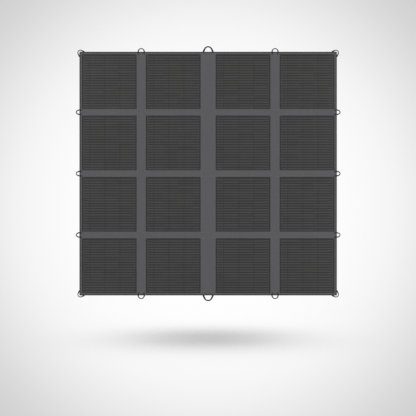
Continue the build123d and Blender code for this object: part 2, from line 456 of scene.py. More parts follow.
class Nodes:
    """A material's node tree, with short ways to add what the finishes share."""

    def __init__(self, name: str) -> None:
        """Start a material with its shader.

        Args:
            name: the material's name.
        """
        self.material = bpy.data.materials.new(name)
        self.material.use_nodes = True
        self.tree = self.material.node_tree
        self.shader = next(n for n in self.tree.nodes if n.type == "BSDF_PRINCIPLED")
        self.place = self.add("ShaderNodeTexCoord").outputs["Object"]

    def add(self, kind: str, **settings: object) -> bpy.types.Node:
        """Add a node.

        Args:
            kind: the kind of node.
            **settings: its own properties, by name.

        Returns:
            The new node.
        """
        node = self.tree.nodes.new(kind)
        for key, value in settings.items():
            setattr(node, key, value)
        return node

    def join(self, source: Socket, target: Socket) -> None:
        """Link two sockets."""
        self.tree.links.new(source, target)

    def math(self, operation: str, *values: object) -> Socket:
        """Work something out from one or two values.

        Args:
            operation: the kind of sum.
            *values: numbers, or sockets that give them.

        Returns:
            The socket that gives the result.
        """
        node = self.add("ShaderNodeMath", operation=operation)
        for socket, value in zip(node.inputs, values):
            if isinstance(value, Socket):
                self.join(value, socket)
            else:
                socket.default_value = value
        return node.outputs[0]

    def stretched(self, scale: Point, turn: float = 0.0) -> Socket:
        """The object's own coordinates, scaled and turned.

        Args:
            scale: the factor along each axis.
            turn: the turn about Y in degrees.

        Returns:
            The socket that gives the coordinates.
        """
        node = self.add("ShaderNodeMapping")
        self.join(self.place, node.inputs["Vector"])
        node.inputs["Scale"].default_value = scale
        node.inputs["Rotation"].default_value = (0.0, math.radians(turn), 0.0)
        return node.outputs[0]

    def noise(self, scale: float, detail: float, stretch: Point = (1.0, 1.0, 1.0)) -> Socket:
        """Noise from 0 to 1.

        Args:
            scale: about how many blobs there are in a metre.
            detail: how many finer layers lie on them.
            stretch: the factor along each axis, where a small one draws the blobs out.

        Returns:
            The socket that gives the noise.
        """
        node = self.add("ShaderNodeTexNoise")
        self.join(self.stretched(stretch), node.inputs["Vector"])
        node.inputs["Scale"].default_value = scale
        node.inputs["Detail"].default_value = detail
        return node.outputs["Fac"]

    def waves(self, direction: str, pitch: float, turn: float = 0.0) -> Socket:
        """Parallel waves from 0 to 1.

        Args:
            direction: the axis that they follow one another along, or DIAGONAL.
            pitch: the distance from one to the next.
            turn: the turn about Y in degrees.

        Returns:
            The socket that gives the waves.
        """
        node = self.add("ShaderNodeTexWave", wave_type="BANDS", bands_direction=direction)
        node.wave_profile = "SIN"
        self.join(self.stretched((1.0, 1.0, 1.0), turn), node.inputs["Vector"])
        node.inputs["Scale"].default_value = 2 * math.pi / pitch / WAVE_RADIANS
        return node.outputs["Fac"]

    def spread(self, value: Socket, low: float, high: float) -> Socket:
        """Spread a value over a range.

        Args:
            value: gives values from 0 to 1.
            low: what 0 becomes.
            high: what 1 becomes.

        Returns:
            The socket that gives the result.
        """
        node = self.add("ShaderNodeMapRange")
        self.join(value, node.inputs["Value"])
        node.inputs["To Min"].default_value = low
        node.inputs["To Max"].default_value = high
        return node.outputs["Result"]

    def swing(self, value: Socket, reach: float) -> Socket:
        """Spread a value from 0 to 1 evenly about 0."""
        return self.spread(value, -reach, reach)

    def colour(self, colour: Point, tone: Socket) -> None:
        """Colour the shader.

        Args:
            colour: the colour.
            tone: a factor about 1 that makes it lighter or darker.
        """
        node = self.add("ShaderNodeVectorMath", operation="SCALE")
        node.inputs[0].default_value = colour
        self.join(tone, node.inputs["Scale"])
        self.join(node.outputs[0], self.shader.inputs["Base Color"])

    def roughen(self, value: Socket, low: float, high: float) -> None:
        """Spread a value from 0 to 1 over a range of the shader's roughness."""
        self.join(self.spread(value, low, high), self.shader.inputs["Roughness"])

    def bump(self, height: Socket, depth: float, strength: float) -> None:
        """Raise the surface.

        Args:
            height: gives the height, with 1 for the full depth.
            depth: the depth in metres.
            strength: how much of it shows, from 0 to 1.
        """
        node = self.add("ShaderNodeBump")
        node.inputs["Strength"].default_value = strength
        node.inputs["Distance"].default_value = depth
        self.join(height, node.inputs["Height"])
        self.join(node.outputs["Normal"], self.shader.inputs["Normal"])

    def plain(self, **values: object) -> None:
        """Set the shader's own sockets, by their names with _ for a space."""
        for key, value in values.items():
            self.shader.inputs[key.replace("_", " ")].default_value = value


@dataclass(frozen=True)
class WovenFinish:
    """A plain weave of thin coated yarns, or a rib of elastic or tape, with dust and wear.

    Fields: the name and colour, the pitch of the yarns, the roughness, the sheen, the depth of
    the weave, how far its colour wanders and how far the weave is turned in degrees. Then what
    the yarns and the scuffs do to the tone, the scuffs to the roughness, and the share of the
    slubs in the bump and how much of the bump shows.
    """

    name: str
    colour: Point
    pitch: float
    roughness: float
    sheen: float
    depth: float
    wander: float = 0.06
    turn: float = 0.0
    yarn_tone: Range = (0.93, 1.05)
    scuff_tone: float = 0.04
    scuff_roughness: float = 0.08
    slub_share: float = 0.4
    relief: float = 0.6

    def material(self) -> Material:
        """Build the material.

        Returns:
            The material.
        """
        n = Nodes(self.name)
        over = n.waves("DIAGONAL", 2 * self.pitch, self.turn)
        warp = n.math("MULTIPLY", n.waves("X", self.pitch, self.turn), over)
        under = n.math("SUBTRACT", 1.0, over)
        weft = n.math("MULTIPLY", n.waves("Z", self.pitch, self.turn), under)
        yarn = n.math("MAXIMUM", warp, weft)
        slub = n.noise(scale=900.0, detail=1.0, stretch=(0.25, 1.0, 2.0))
        cloud = n.noise(scale=7.0, detail=4.0)
        scuff = n.noise(scale=55.0, detail=5.0, stretch=(1.0, 1.0, 0.35))
        dust = n.spread(cloud, 1 - self.wander, 1 + self.wander)
        tone = n.math("ADD", dust, n.swing(scuff, self.scuff_tone))
        n.colour(self.colour, n.math("MULTIPLY", tone, n.spread(yarn, *self.yarn_tone)))
        reach = self.scuff_roughness
        n.roughen(scuff, self.roughness - reach, self.roughness + reach)
        n.plain(Sheen_Weight=self.sheen, Sheen_Roughness=0.45, Specular_IOR_Level=0.3)
        height = n.math("ADD", yarn, n.math("MULTIPLY", slub, self.slub_share))
        n.bump(height, self.depth, self.relief)
        return n.material


@dataclass(frozen=True)
class CellFinish:
    """A thin-film cell strip under a satin film, with fine collector lines down it.

    Fields: the name, colour and roughness, the pitch of the collector lines, the height and
    width of the patches that differ a little in tone, how far they do, how far the haze, the
    lines and the grain change the tone and the roughness, the lines' share of the bump, its
    depth and how much of it shows.
    """

    name: str
    colour: Point
    roughness: float
    finger_pitch: float = 3.2 * MM
    strip_pitch: float = 13.4 * MM
    panel_width: float = 80 * MM
    strip_tone: Range = (0.87, 1.12)
    haze_tone: float = 0.06
    finger_tone: float = 0.16
    finger_sharpness: float = 12.0
    grain_roughness: float = 0.07
    finger_share: float = 0.8
    depth: float = 0.03 * MM
    relief: float = 0.5

    def material(self) -> Material:
        """Build the material.

        Returns:
            The material.
        """
        n = Nodes(self.name)
        fingers = n.math("POWER", n.waves("X", self.finger_pitch), self.finger_sharpness)
        grain = n.noise(scale=420.0, detail=3.0, stretch=(0.2, 1.0, 2.5))
        haze = n.noise(scale=5.0, detail=3.0)
        axes = n.add("ShaderNodeSeparateXYZ")
        n.join(n.place, axes.inputs[0])
        patch = n.add("ShaderNodeCombineXYZ")
        sizes = (("Z", self.strip_pitch), ("X", self.panel_width))
        for target, (axis, size) in zip(patch.inputs, sizes):
            n.join(n.math("FLOOR", n.math("DIVIDE", axes.outputs[axis], size)), target)
        pick = n.add("ShaderNodeTexWhiteNoise", noise_dimensions="2D")
        n.join(patch.outputs[0], pick.inputs["Vector"])
        tone = n.spread(pick.outputs["Value"], *self.strip_tone)
        tone = n.math("ADD", tone, n.swing(haze, self.haze_tone))
        n.colour(self.colour, n.math("ADD", tone, n.math("MULTIPLY", fingers, self.finger_tone)))
        reach = self.grain_roughness
        n.roughen(grain, self.roughness - reach, self.roughness + reach)
        n.plain(Specular_IOR_Level=0.35, Coat_Weight=0.25, Coat_Roughness=0.28, Coat_IOR=1.45)
        height = n.math("ADD", n.math("MULTIPLY", fingers, self.finger_share), grain)
        n.bump(height, self.depth, self.relief)
        return n.material


@dataclass(frozen=True)
class MouldedFinish:
    """Moulded plastic or rubber with a fine spark texture and faint rubbed patches.

    Fields: the name, colour and roughness, the scale and depth of the spark texture, what the
    rubbed patches and the sparks do to the tone, and the patches to the roughness, the share of
    the patches in the bump and how much of it shows.
    """

    name: str
    colour: Point
    roughness: float
    grain: float = 1500.0
    depth: float = 0.04 * MM
    rubbed_tone: Range = (0.88, 1.14)
    spark_tone: float = 0.06
    rubbed_roughness: float = 0.1
    rubbed_share: float = 0.3
    relief: float = 0.7

    def material(self) -> Material:
        """Build the material.

        Returns:
            The material.
        """
        n = Nodes(self.name)
        spark = n.noise(scale=self.grain, detail=3.0)
        rubbed = n.noise(scale=45.0, detail=4.0)
        patches = n.spread(rubbed, *self.rubbed_tone)
        n.colour(self.colour, n.math("ADD", patches, n.swing(spark, self.spark_tone)))
        reach = self.rubbed_roughness
        n.roughen(rubbed, self.roughness - reach, self.roughness + reach)
        n.plain(Specular_IOR_Level=0.45)
        height = n.math("ADD", spark, n.math("MULTIPLY", rubbed, self.rubbed_share))
        n.bump(height, self.depth, self.relief)
        return n.material


@dataclass(frozen=True)
class PlatedFinish:
    """Plated steel with fine turning marks.

    Fields: the name, colour and roughness, what the stains and the marks do to the tone, the
    marks to the roughness, and the depth of the marks and how much of it shows.
    """

    name: str
    colour: Point
    roughness: float
    stain_tone: Range = (0.85, 1.08)
    mark_tone: float = 0.05
    mark_roughness: Range = (-0.08, 0.12)
    depth: float = 0.02 * MM
    relief: float = 0.6

    def material(self) -> Material:
        """Build the material.

        Returns:
            The material.
        """
        n = Nodes(self.name)
        marks = n.noise(scale=2600.0, detail=2.0, stretch=(1.0, 0.1, 0.4))
        stain = n.noise(scale=160.0, detail=3.0)
        stains = n.spread(stain, *self.stain_tone)
        n.colour(self.colour, n.math("ADD", stains, n.swing(marks, self.mark_tone)))
        n.roughen(marks, *(self.roughness + change for change in self.mark_roughness))
        n.plain(Metallic=1.0)
        n.bump(marks, self.depth, self.relief)
        return n.material


def cloth_finish() -> Material:
    """The blanket's dark grey coated cloth."""
    colour = (0.1115, 0.1105, 0.1175)
    return WovenFinish("coated_cloth", colour, 0.9 * MM, 0.82, 0.06, 0.10 * MM).material()


def tape_finish() -> Material:
    """The paler tape over the seams on the back."""
    colour = (0.150, 0.1495, 0.153)
    return WovenFinish("seam_tape", colour, 0.8 * MM, 0.8, 0.06, 0.08 * MM).material()


def binding_finish() -> Material:
    """The black twill tape round the edge."""
    look = ((0.050, 0.050, 0.052), 1.3 * MM, 0.85, 0.05, 0.16 * MM)
    return WovenFinish("binding_tape", *look, wander=0.05, turn=45.0).material()


def thread_finish(name: str, colour: Point) -> Material:
    """Twisted sewing thread of a colour."""
    return WovenFinish(name, colour, 0.5 * MM, 0.6, 0.2, 0.05 * MM).material()


def elastic_finish() -> Material:
    """The black braid round the elastic."""
    look = ((0.017, 0.017, 0.0185), 0.9 * MM, 0.78, 0.12, 0.12 * MM)
    return WovenFinish("braided_elastic", *look, wander=0.1, turn=30.0).material()


class Finishes:
    """Every finish of the blanket, made once."""

    def __init__(self) -> None:
        """Make the materials."""
        self.cloth = cloth_finish()
        self.seam_tape = tape_finish()
        self.binding = binding_finish()
        self.thread = thread_finish("sewing_thread", (0.19, 0.19, 0.198))
        self.dark_thread = thread_finish("dark_thread", (0.046, 0.046, 0.048))
        self.elastic = elastic_finish()
        webbing = WovenFinish("tab_webbing", (0.03, 0.03, 0.032), 1.6 * MM, 0.8, 0.15, 0.25 * MM)
        self.webbing = webbing.material()
        self.strip = CellFinish("cell_strip", (0.0405, 0.0405, 0.0395), 0.42).material()
        self.film = CellFinish("cell_film", (0.012, 0.012, 0.012), 0.38, 6.4 * MM).material()
        ribbon = CellFinish("collector_ribbon", (0.058, 0.058, 0.059), 0.4, 1.1 * MM)
        self.collector = ribbon.material()
        self.box = MouldedFinish("box_plastic", (0.024, 0.024, 0.025), 0.55).material()
        gland = MouldedFinish("gland_nylon", (0.02, 0.02, 0.021), 0.42, 900.0, 0.02 * MM)
        self.gland = gland.material()
        gasket = MouldedFinish("gasket_rubber", (0.012, 0.012, 0.012), 0.75, 2200.0)
        self.gasket = gasket.material()
        self.screw = PlatedFinish("plated_screw", (0.55, 0.55, 0.56), 0.32).material()


# ---------------------------------------------------------------- cloth


@dataclass
class Cloth:
    """The sewn cloth: seven upright strips in four rows, with folds between the rows."""

    layout: Layout
    finishes: Finishes
    fold_reach: float = 5.0 * MM
    ripple: float = 0.20 * MM
    ripple_start: float = 6.0 * MM
    board_rise: float = 0.15 * MM
    board_margin: float = 4.0 * MM
    edge_step: float = 5.0 * MM
    wide_step: float = 24.0 * MM
    bead_drop: float = 0.16 * MM
    bead_sides: int = 6
    seam_inset: float = 4.3 * MM
    seam_clearance: float = 15.0 * MM
    cell_room: float = 4.0 * MM
    lap: float = 4.5 * MM
    lap_slope: float = 1.5 * MM
    lap_rise: float = 0.12 * MM
    seams: list[float] = field(init=False)

    def __post_init__(self) -> None:
        """Place the upright seams: beside each column of cells, and inside the centre band."""
        edge, creases = self.layout.edge, self.layout.creases
        found = [creases[2] - self.seam_inset, creases[3] + self.seam_inset]
        for column in COLUMNS:
            cell = self.layout.cells[FIRST_ROW, column].grown(self.cell_room)
            found += [cell.left, cell.right]
        low, high = edge.left + self.seam_clearance, edge.right - self.seam_clearance
        self.seams = merged(x for x in found if low < x < high)

    def to_seam(self, x: float) -> float:
        """The distance to the nearest upright seam."""
        return min(abs(x - seam) for seam in self.seams)

    def lines_across(self, left: float, right: float) -> list[float]:
        """Stations across a strip, close on its margins and wide apart behind a cell sheet.

        Args:
            left: the strip's left end.
            right: its right end.

        Returns:
            The stations.
        """
        reaches = (self.lap, self.lap - self.lap_slope)
        laps = [seam + way * reach for seam in self.seams for way in (-1, 1) for reach in reaches]
        laps = [x for x in laps if left < x < right]
        for cell in (self.layout.cells[FIRST_ROW, column] for column in COLUMNS):
            if left <= cell.left < right:
                laps = [x for x in laps if not cell.left < x < cell.right]
                margins = stations(left, cell.left, self.edge_step)
                margins += stations(cell.right, right, self.edge_step)
                return merged(laps + margins + self.lines_behind(cell.left, cell.right))
        return merged(stations(left, right, self.edge_step) + laps)

    def lines_behind(self, start: float, end: float) -> list[float]:
        """Stations behind a cell sheet, closest at the rim of its board.

        Args:
            start: one edge of the sheet.
            end: the edge across from it.

        Returns:
            The stations.
        """
        margin = self.board_margin
        rim = stations(start, start + 2 * margin, margin) + stations(end - 2 * margin, end, margin)
        return rim + stations(start + 2 * margin, end - 2 * margin, self.wide_step)

    def lines_up(self, bottom: float, top: float) -> list[float]:
        """Stations up a piece, closest where it bends at a row line.

        Args:
            bottom: the piece's bottom.
            top: its top.

        Returns:
            The stations.
        """
        found, reach = [bottom, top], self.fold_reach
        for line in self.layout.row_lines:
            found += stations(line - reach, line + reach, reach / 4)
        for row in ROWS:
            cell = self.layout.cells[row, 1]
            row_bottom, row_top = self.layout.row_range(row)
            found += self.lines_behind(cell.bottom, cell.top)
            found += stations(cell.top, row_top, self.edge_step)
            found += stations(row_bottom, cell.bottom, self.edge_step)
        return [z for z in merged(found) if bottom - TOUCH <= z <= top + TOUCH]

    def clear_of_cells(self, x: float, z: float) -> float:
        """How far clear of the cell sheets a point is.

        Args:
            x: the point's place across.
            z: its height.

        Returns:
            0 behind a cell sheet, growing to 1 a few millimetres outside it.
        """
        nearest = 1.0
        for cell in self.layout.cells.values():
            out_x = max(cell.left - x, x - cell.right)
            out_z = max(cell.bottom - z, z - cell.top)
            nearest = min(nearest, smooth(max(out_x, out_z) / self.ripple_start))
        return nearest

    def forward(self, x: float, z: float, side: Side) -> float:
        """How far in front of the cloth's middle its surface lies.

        Args:
            x: the place across.
            z: the height.
            side: the front or the back surface.

        Returns:
            The distance, negative for the back.
        """
        clear = self.clear_of_cells(x, z)
        puckers = 0.0
        for share, along, up, start in PUCKERS:
            puckers += share * math.sin(2 * math.pi * (x / along + z / up) + start)
        moved = self.ripple / 2 * puckers * clear
        lapped = self.lap_rise * smooth((self.lap - self.to_seam(x)) / self.lap_slope)
        half = self.layout.half_cloth + lapped * clear
        if side is Side.FRONT:
            return half + moved
        board = 0.0
        for cell in self.layout.cells.values():
            depth = min(x - cell.left, cell.right - x, z - cell.bottom, cell.top - z)
            board = max(board, smooth(depth / self.board_margin))
        return moved - half - self.board_rise * board

    def taped(self, x: float, z: float) -> bool:
        """Whether a point on the back lies on the seam tape.

        Args:
            x: the point's place across.
            z: its height.

        Returns:
            True over the upright seams, and in a frame round each cell sheet.
        """
        if self.to_seam(x) < self.lap and self.clear_of_cells(x, z) > 0:
            return True
        for cell in self.layout.cells.values():
            if cell.grown(2 * self.lap).within(x, z) and not cell.within(x, z):
                return True
        return False

    def sheet(self, left: float, right: float, bottom: float, top: float) -> Shape:
        """A closed piece of cloth, its front and its back each a fine grid.

        Args:
            left: its left end.
            right: its right end.
            bottom: its bottom.
            top: its top.

        Returns:
            The piece, with finish 1 on the back where the seam tape lies.
        """
        xs, zs = self.lines_across(left, right), self.lines_up(bottom, top)
        front, back = (
            [self.layout.at(x, self.forward(x, z, side), z) for z in zs for x in xs]
            for side in Side
        )
        shape = Shape()
        shape.quilt(front, back, len(xs))
        behind = 1
        for z, z_above in zip(zs, zs[1:]):
            for x, x_beside in zip(xs, xs[1:]):
                shape.finish[behind] = int(self.taped((x + x_beside) / 2, (z + z_above) / 2))
                behind += 2
        return shape

    def crease_bead(self, shape: Shape, x: float, bottom: float, top: float) -> None:
        """Add a half-round edge that keeps the outside of a folded crease closed.

        Args:
            shape: the cloth that it joins.
            x: the crease.
            bottom: the bead's bottom.
            top: its top.
        """
        front = self.layout.half_cloth - self.bead_drop
        radius = 2 * front
        turns = [math.pi * n / self.bead_sides for n in range(self.bead_sides + 1)]
        rings = []
        for z in self.lines_up(bottom, top):
            ring = []
            for turn in turns:
                across, back = radius * math.cos(turn), radius * math.sin(turn)
                ring.append(self.layout.at(x + across, front - back, z))
            rings.append(ring)
        shape.tube(rings)

    def piece_range(self, row: int) -> Range:
        """The bottom and top of the cloth that goes with a row.

        Args:
            row: the row.

        Returns:
            Its bottom and top, with the whole of the fold below it and none of the one above.
        """
        bottom, top = self.layout.row_range(row)
        top -= self.fold_reach if row > FIRST_ROW else 0.0
        bottom -= self.fold_reach if row < LAST_ROW else 0.0
        return bottom, top

    def attach(self, piece: Piece, strip: str, row: int) -> None:
        """Let a piece ride on the last row's body; in the other rows only bake its transform in
        place.

        Args:
            piece: the cloth, tape, tie or thread.
            strip: the upright strip's name.
            row: the row.
        """
        if row == LAST_ROW:
            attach(piece, body_name(strip, row))
            return
        line = self.layout.row_lines[row - 1]
        start = self.layout.at(0.0, 0.0, line + self.fold_reach)
        end = self.layout.at(0.0, 0.0, line - self.fold_reach)
        body_name(strip, row)
        body_name(strip, row + 1)
        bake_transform(piece)

    def build(self) -> None:
        """Build the twenty-eight pieces of cloth."""
        beads = {"c1": 1, "c2": 1, "c3": 0, "c4": 0, "left": 0, "right": 1}
        finishes = [self.finishes.cloth, self.finishes.seam_tape]
        for strip, (left, right) in self.layout.strips().items():
            for row in ROWS:
                bottom, top = self.piece_range(row)
                shape = self.sheet(left, right, bottom, top)
                if strip in beads:
                    self.crease_bead(shape, (left, right)[beads[strip]], bottom, top)
                piece = shape.to_object(f"cloth_r{row}_{strip}", finishes)
                soften(piece, 50.0)
                self.attach(piece, strip, row)
                declare(piece, Slot.CLOTH, node=cloth_node(strip, row))


# ---------------------------------------------------------------- cell sheets


@dataclass
class CellSheets:
    """Sixteen laminated cell sheets: film with rounded corners, shingled strips and ribbons.

    The pairs of drops are how far behind the front of the sheet a plate's top edge and its
    bottom edge lie.
    """

    layout: Layout
    finishes: Finishes
    corner: float = 3.0 * MM
    corner_steps: int = 6
    film_drop: float = 0.30 * MM
    film_sink: float = 0.05 * MM
    bevel: float = 0.35 * MM
    strips: int = 21
    strip_gap: float = 0.25 * MM
    strip_bevel: float = 0.3 * MM
    plate_sink: float = 0.03 * MM
    light_drops: Range = (0.12 * MM, 0.02 * MM)
    dark_drops: Range = (0.24 * MM, 0.16 * MM)
    light_share: float = 0.60
    end_margin: float = 4.5 * MM
    side_margin: float = 5.5 * MM
    ribbon_inset: float = 9.0 * MM
    ribbon_end: float = 3.0 * MM
    ribbon_width: float = 1.7 * MM
    ribbon_bevel: float = 0.2 * MM
    ribbon_drops: Range = (0.05 * MM, 0.05 * MM)
    grooves: tuple[float, ...] = (42 * MM, 122 * MM, 202 * MM)
    groove_width: float = 2.3 * MM

    def film(self, shape: Shape, cell: Rect) -> None:
        """Add the film: a thin slab with rounded corners and a bevelled front edge.

        Args:
            shape: the mesh that it joins.
            cell: its outline.
        """
        front = self.layout.sheet_forward - self.film_drop
        back = self.layout.half_cloth - self.film_sink
        chamfer = 0.3 * self.bevel
        levels = ((back, 0.0), (front - self.bevel, 0.0), (front - chamfer, chamfer))
        rings = []
        for forward, inset in (*levels, (front, self.bevel)):
            outline = cell.grown(-inset).rounded(self.corner - inset, self.corner_steps)
            rings.append([self.layout.at(x, forward, z) for x, z in outline])
        shape.tube(rings)

    def plate(self, shape: Shape, rect: Rect, drops: Range, finish: int, bevel: float) -> None:
        """Add a thin plate with a bevelled rim, whose front may slope from top to bottom.

        Args:
            shape: the mesh that it joins.
            rect: its outline.
            drops: how far behind the sheet's front its top and its bottom edge lie.
            finish: the number of its finish.
            bevel: the width of its bevel.
        """
        base = self.layout.sheet_forward - self.film_drop - self.plate_sink
        above, below = (self.layout.sheet_forward - drop - base for drop in drops)
        rings = []
        for inset, share in ((0.0, 0.0), (0.0, 0.5), (bevel, 1.0)):
            corners = rect.grown(-inset).outline()[:-1]
            ring = []
            for (x, z), rise in zip(corners, (below, below, above, above)):
                ring.append(self.layout.at(x, base + rise * share, z))
            rings.append(ring)
        shape.tube(rings, finish)

    def stretches(self, cell: Rect) -> list[Range]:
        """The stretches of a strip between the grooves and the ribbons.

        Args:
            cell: the cell sheet.

        Returns:
            The left and right end of each.
        """
        ribbon = (self.ribbon_width + self.groove_width) / 2
        groove = self.groove_width / 2
        cuts = [(cell.left + self.ribbon_inset, ribbon), (cell.right - self.ribbon_inset, ribbon)]
        cuts += [(cell.left + place, groove) for place in self.grooves]
        ends = [cell.left + self.side_margin]
        for cut, room in sorted(cuts):
            ends += [cut - room, cut + room]
        ends.append(cell.right - self.side_margin)
        return list(zip(ends[0::2], ends[1::2]))

    def shingles(self, shape: Shape, cell: Rect) -> None:
        """Add the shingled strips, each with a light part below and a dark part above.

        Args:
            shape: the mesh that they join.
            cell: the cell sheet.
        """
        pitch = (cell.top - cell.bottom - 2 * self.end_margin) / self.strips
        for n in range(self.strips):
            bottom = cell.bottom + self.end_margin + n * pitch
            middle = bottom + pitch * self.light_share
            low, high = middle + self.strip_gap, bottom + pitch - self.strip_gap
            for left, right in self.stretches(cell):
                light, dark = Rect(left, right, bottom, middle), Rect(left, right, low, high)
                self.plate(shape, light, self.light_drops, 1, self.strip_bevel)
                self.plate(shape, dark, self.dark_drops, 0, self.strip_bevel)

    def ribbons(self, shape: Shape, cell: Rect) -> None:
        """Add the two upright collector ribbons.

        Args:
            shape: the mesh that they join.
            cell: the cell sheet.
        """
        half = self.ribbon_width / 2
        for x in (cell.left + self.ribbon_inset, cell.right - self.ribbon_inset):
            ends = (cell.bottom + self.ribbon_end, cell.top - self.ribbon_end)
            ribbon = Rect(x - half, x + half, *ends)
            self.plate(shape, ribbon, self.ribbon_drops, 2, self.ribbon_bevel)

    def build(self) -> None:
        """Build the sixteen sheets."""
        finishes = [self.finishes.film, self.finishes.strip, self.finishes.collector]
        for (row, column), cell in self.layout.cells.items():
            shape = Shape()
            self.film(shape, cell)
            self.shingles(shape, cell)
            self.ribbons(shape, cell)
            piece = shape.to_object(f"cell_face_r{row}c{column}", finishes)
            soften(piece, 20.0)
            body = body_name(f"c{column}", row)
            declare(piece, Slot.CELL, node=f"cell_sheet_r{row}c{column}", body=body)


# ---------------------------------------------------------------- binding tape


@dataclass
class Binding:
    """The tape folded over the edge of the cloth all round, in a piece for each that moves."""

    cloth: Cloth
    width: float = 5.7 * MM
    rise: float = 0.20 * MM
    side_rise: float = 0.14 * MM
    lap: float = 0.35 * MM
    sink: float = 0.1 * MM
    shoulder: float = 0.4 * MM
    turn_in: float = 0.6 * MM
    step: float = 6.0 * MM
    side_step: float = 24.0 * MM
    apart: float = 0.6 * MM

    def profile(self, rise: float) -> list[Spot]:
        """The tape's section.

        Args:
            rise: how far the tape stands off the cloth.

        Returns:
            Its points, as distances in from the edge and forward of the cloth's middle.
        """
        half = self.cloth.layout.half_cloth
        front = [
            (self.width, half - self.sink),
            (self.width, half + rise * 0.6),
            (self.width - self.shoulder, half + rise),
            (self.turn_in, half + rise),
            (-self.lap * 0.4, half + rise * 0.5),
            (-self.lap, half * 0.55),
        ]
        return front + [(inward, -forward) for inward, forward in reversed(front)]

    def lay(
        self,
        name: str,
        spots: Sequence[float],
        rise: float,
        place: Callable[[float, float, float], Point],
    ) -> Piece:
        """Lay a length of tape along an edge.

        Args:
            name: the piece's name.
            spots: stations along the edge.
            rise: how far the tape stands off the cloth.
            place: turns a station, a distance in and a forward distance into a point.

        Returns:
            The piece.
        """
        section = self.profile(rise)
        rings = [[place(spot, inward, forward) for inward, forward in section] for spot in spots]
        shape = Shape()
        shape.tube(rings)
        piece = shape.to_object(name, [self.cloth.finishes.binding])
        soften(piece, 40.0)
        return piece

    def build(self) -> None:
        """Build the tape along all four edges."""
        layout = self.cloth.layout
        for strip, (left, right) in layout.strips().items():
            for at, row, z, up in layout.ends():

                def place(
                    x: float, inward: float, forward: float, z: float = z, up: int = up
                ) -> Point:
                    """A point on the top or bottom tape."""
                    return layout.at(x, forward, z - up * inward)

                spots = stations(left, right, self.step)
                piece = self.lay(f"binding_{at}_{strip}", spots, self.rise, place)
                declare(piece, Slot.CLOTH, body=body_name(strip, row))
        for name, strip, x, sign in layout.sides():
            for row in ROWS:
                bottom, top = self.cloth.piece_range(row)
                spots = self.cloth.lines_up(bottom, top) + stations(bottom, top, self.side_step)

                def place(
                    z: float, inward: float, forward: float, x: float = x, sign: int = sign
                ) -> Point:
                    """A point on the side tape."""
                    return layout.at(x - sign * inward, forward, z)

                name_here = f"binding_{name}_r{row}"
                piece = self.lay(name_here, merged(spots, self.apart), self.side_rise, place)
                self.cloth.attach(piece, strip, row)
                declare(piece, Slot.CLOTH)


# ---------------------------------------------------------------- stitching


@dataclass
class Stitching:
    """Rows of machine stitches through the cloth, in a piece of thread for each of cloth.

    The light thread is finish 0 and the dark thread on the binding is finish 1.
    """

    cloth: Cloth
    pitch: float = 4.2 * MM
    gap: float = 0.9 * MM
    radius: float = 0.40 * MM
    rise: float = 0.26 * MM
    binding_inset: float = 4.3 * MM
    binding_lift: float = 0.2 * MM
    side_lift: float = 0.14 * MM

    def run(self, shape: Shape, start: Spot, end: Spot, lift: float = 0.0) -> None:
        """Add one row of stitches on both sides.

        Args:
            shape: the thread's mesh.
            start: x and z of the first needle hole.
            end: x and z of the last needle hole.
            lift: how far the binding stands above the plain cloth, where the row is on it.
        """
        finish = 1 if lift else 0
        for ends in stitch_ends(start, end, self.pitch, self.gap / 2 / self.pitch):
            for side in Side:
                out = Vector((0.0, -side.value, 0.0))
                spots = []
                for x, z in ends:
                    forward = self.cloth.forward(x, z, side) + side.value * lift
                    spots.append(Vector(self.cloth.layout.at(x, forward, z)))
                shape.lozenge(spots, out, self.radius, self.rise, finish)

    def row_seams(self, row: int) -> list[float]:
        """The level seams beside the row lines that lie on a row's pieces of cloth.

        Args:
            row: the row.

        Returns:
            Their heights.
        """
        bottom, top = self.cloth.piece_range(row)
        cells, room = self.cloth.layout.cells, self.cloth.cell_room
        found = []
        for below in (row, row + 1):
            if FIRST_ROW < below <= LAST_ROW:
                found += [cells[below, 1].top + room, cells[below - 1, 1].bottom - room]
        return [z for z in found if bottom < z < top]

    def sew(self, strip: str, row: int) -> Shape:
        """Sew all the seams of one piece of cloth.

        Args:
            strip: the upright strip's name.
            row: the row.

        Returns:
            The thread.
        """
        layout, inset, shape = self.cloth.layout, self.binding_inset, Shape()
        left, right = layout.strips()[strip]
        bottom, top = self.cloth.piece_range(row)
        high = top - (inset if row == FIRST_ROW else 0.0)
        low = bottom + (inset if row == LAST_ROW else 0.0)
        for x in self.cloth.seams:
            if left < x < right:
                self.run(shape, (x, high), (x, low))
        for _, end_row, z, up in layout.ends():
            if row == end_row:
                level = z - up * inset
                self.run(shape, (left, level), (right, level), self.binding_lift)
        for _, side_strip, x, sign in layout.sides():
            if strip == side_strip:
                upright = x - sign * inset
                self.run(shape, (upright, top), (upright, bottom), self.side_lift)
        for z in self.row_seams(row):
            self.run(shape, (left, z), (right, z))
        return shape

    def build(self) -> None:
        """Sew every piece of cloth."""
        threads = [self.cloth.finishes.thread, self.cloth.finishes.dark_thread]
        for strip in self.cloth.layout.strips():
            for row in ROWS:
                piece = self.sew(strip, row).to_object(f"stitches_r{row}_{strip}", threads)
                self.cloth.attach(piece, strip, row)
                declare(piece, Slot.CLOTH)


# ---------------------------------------------------------------- ties and loops


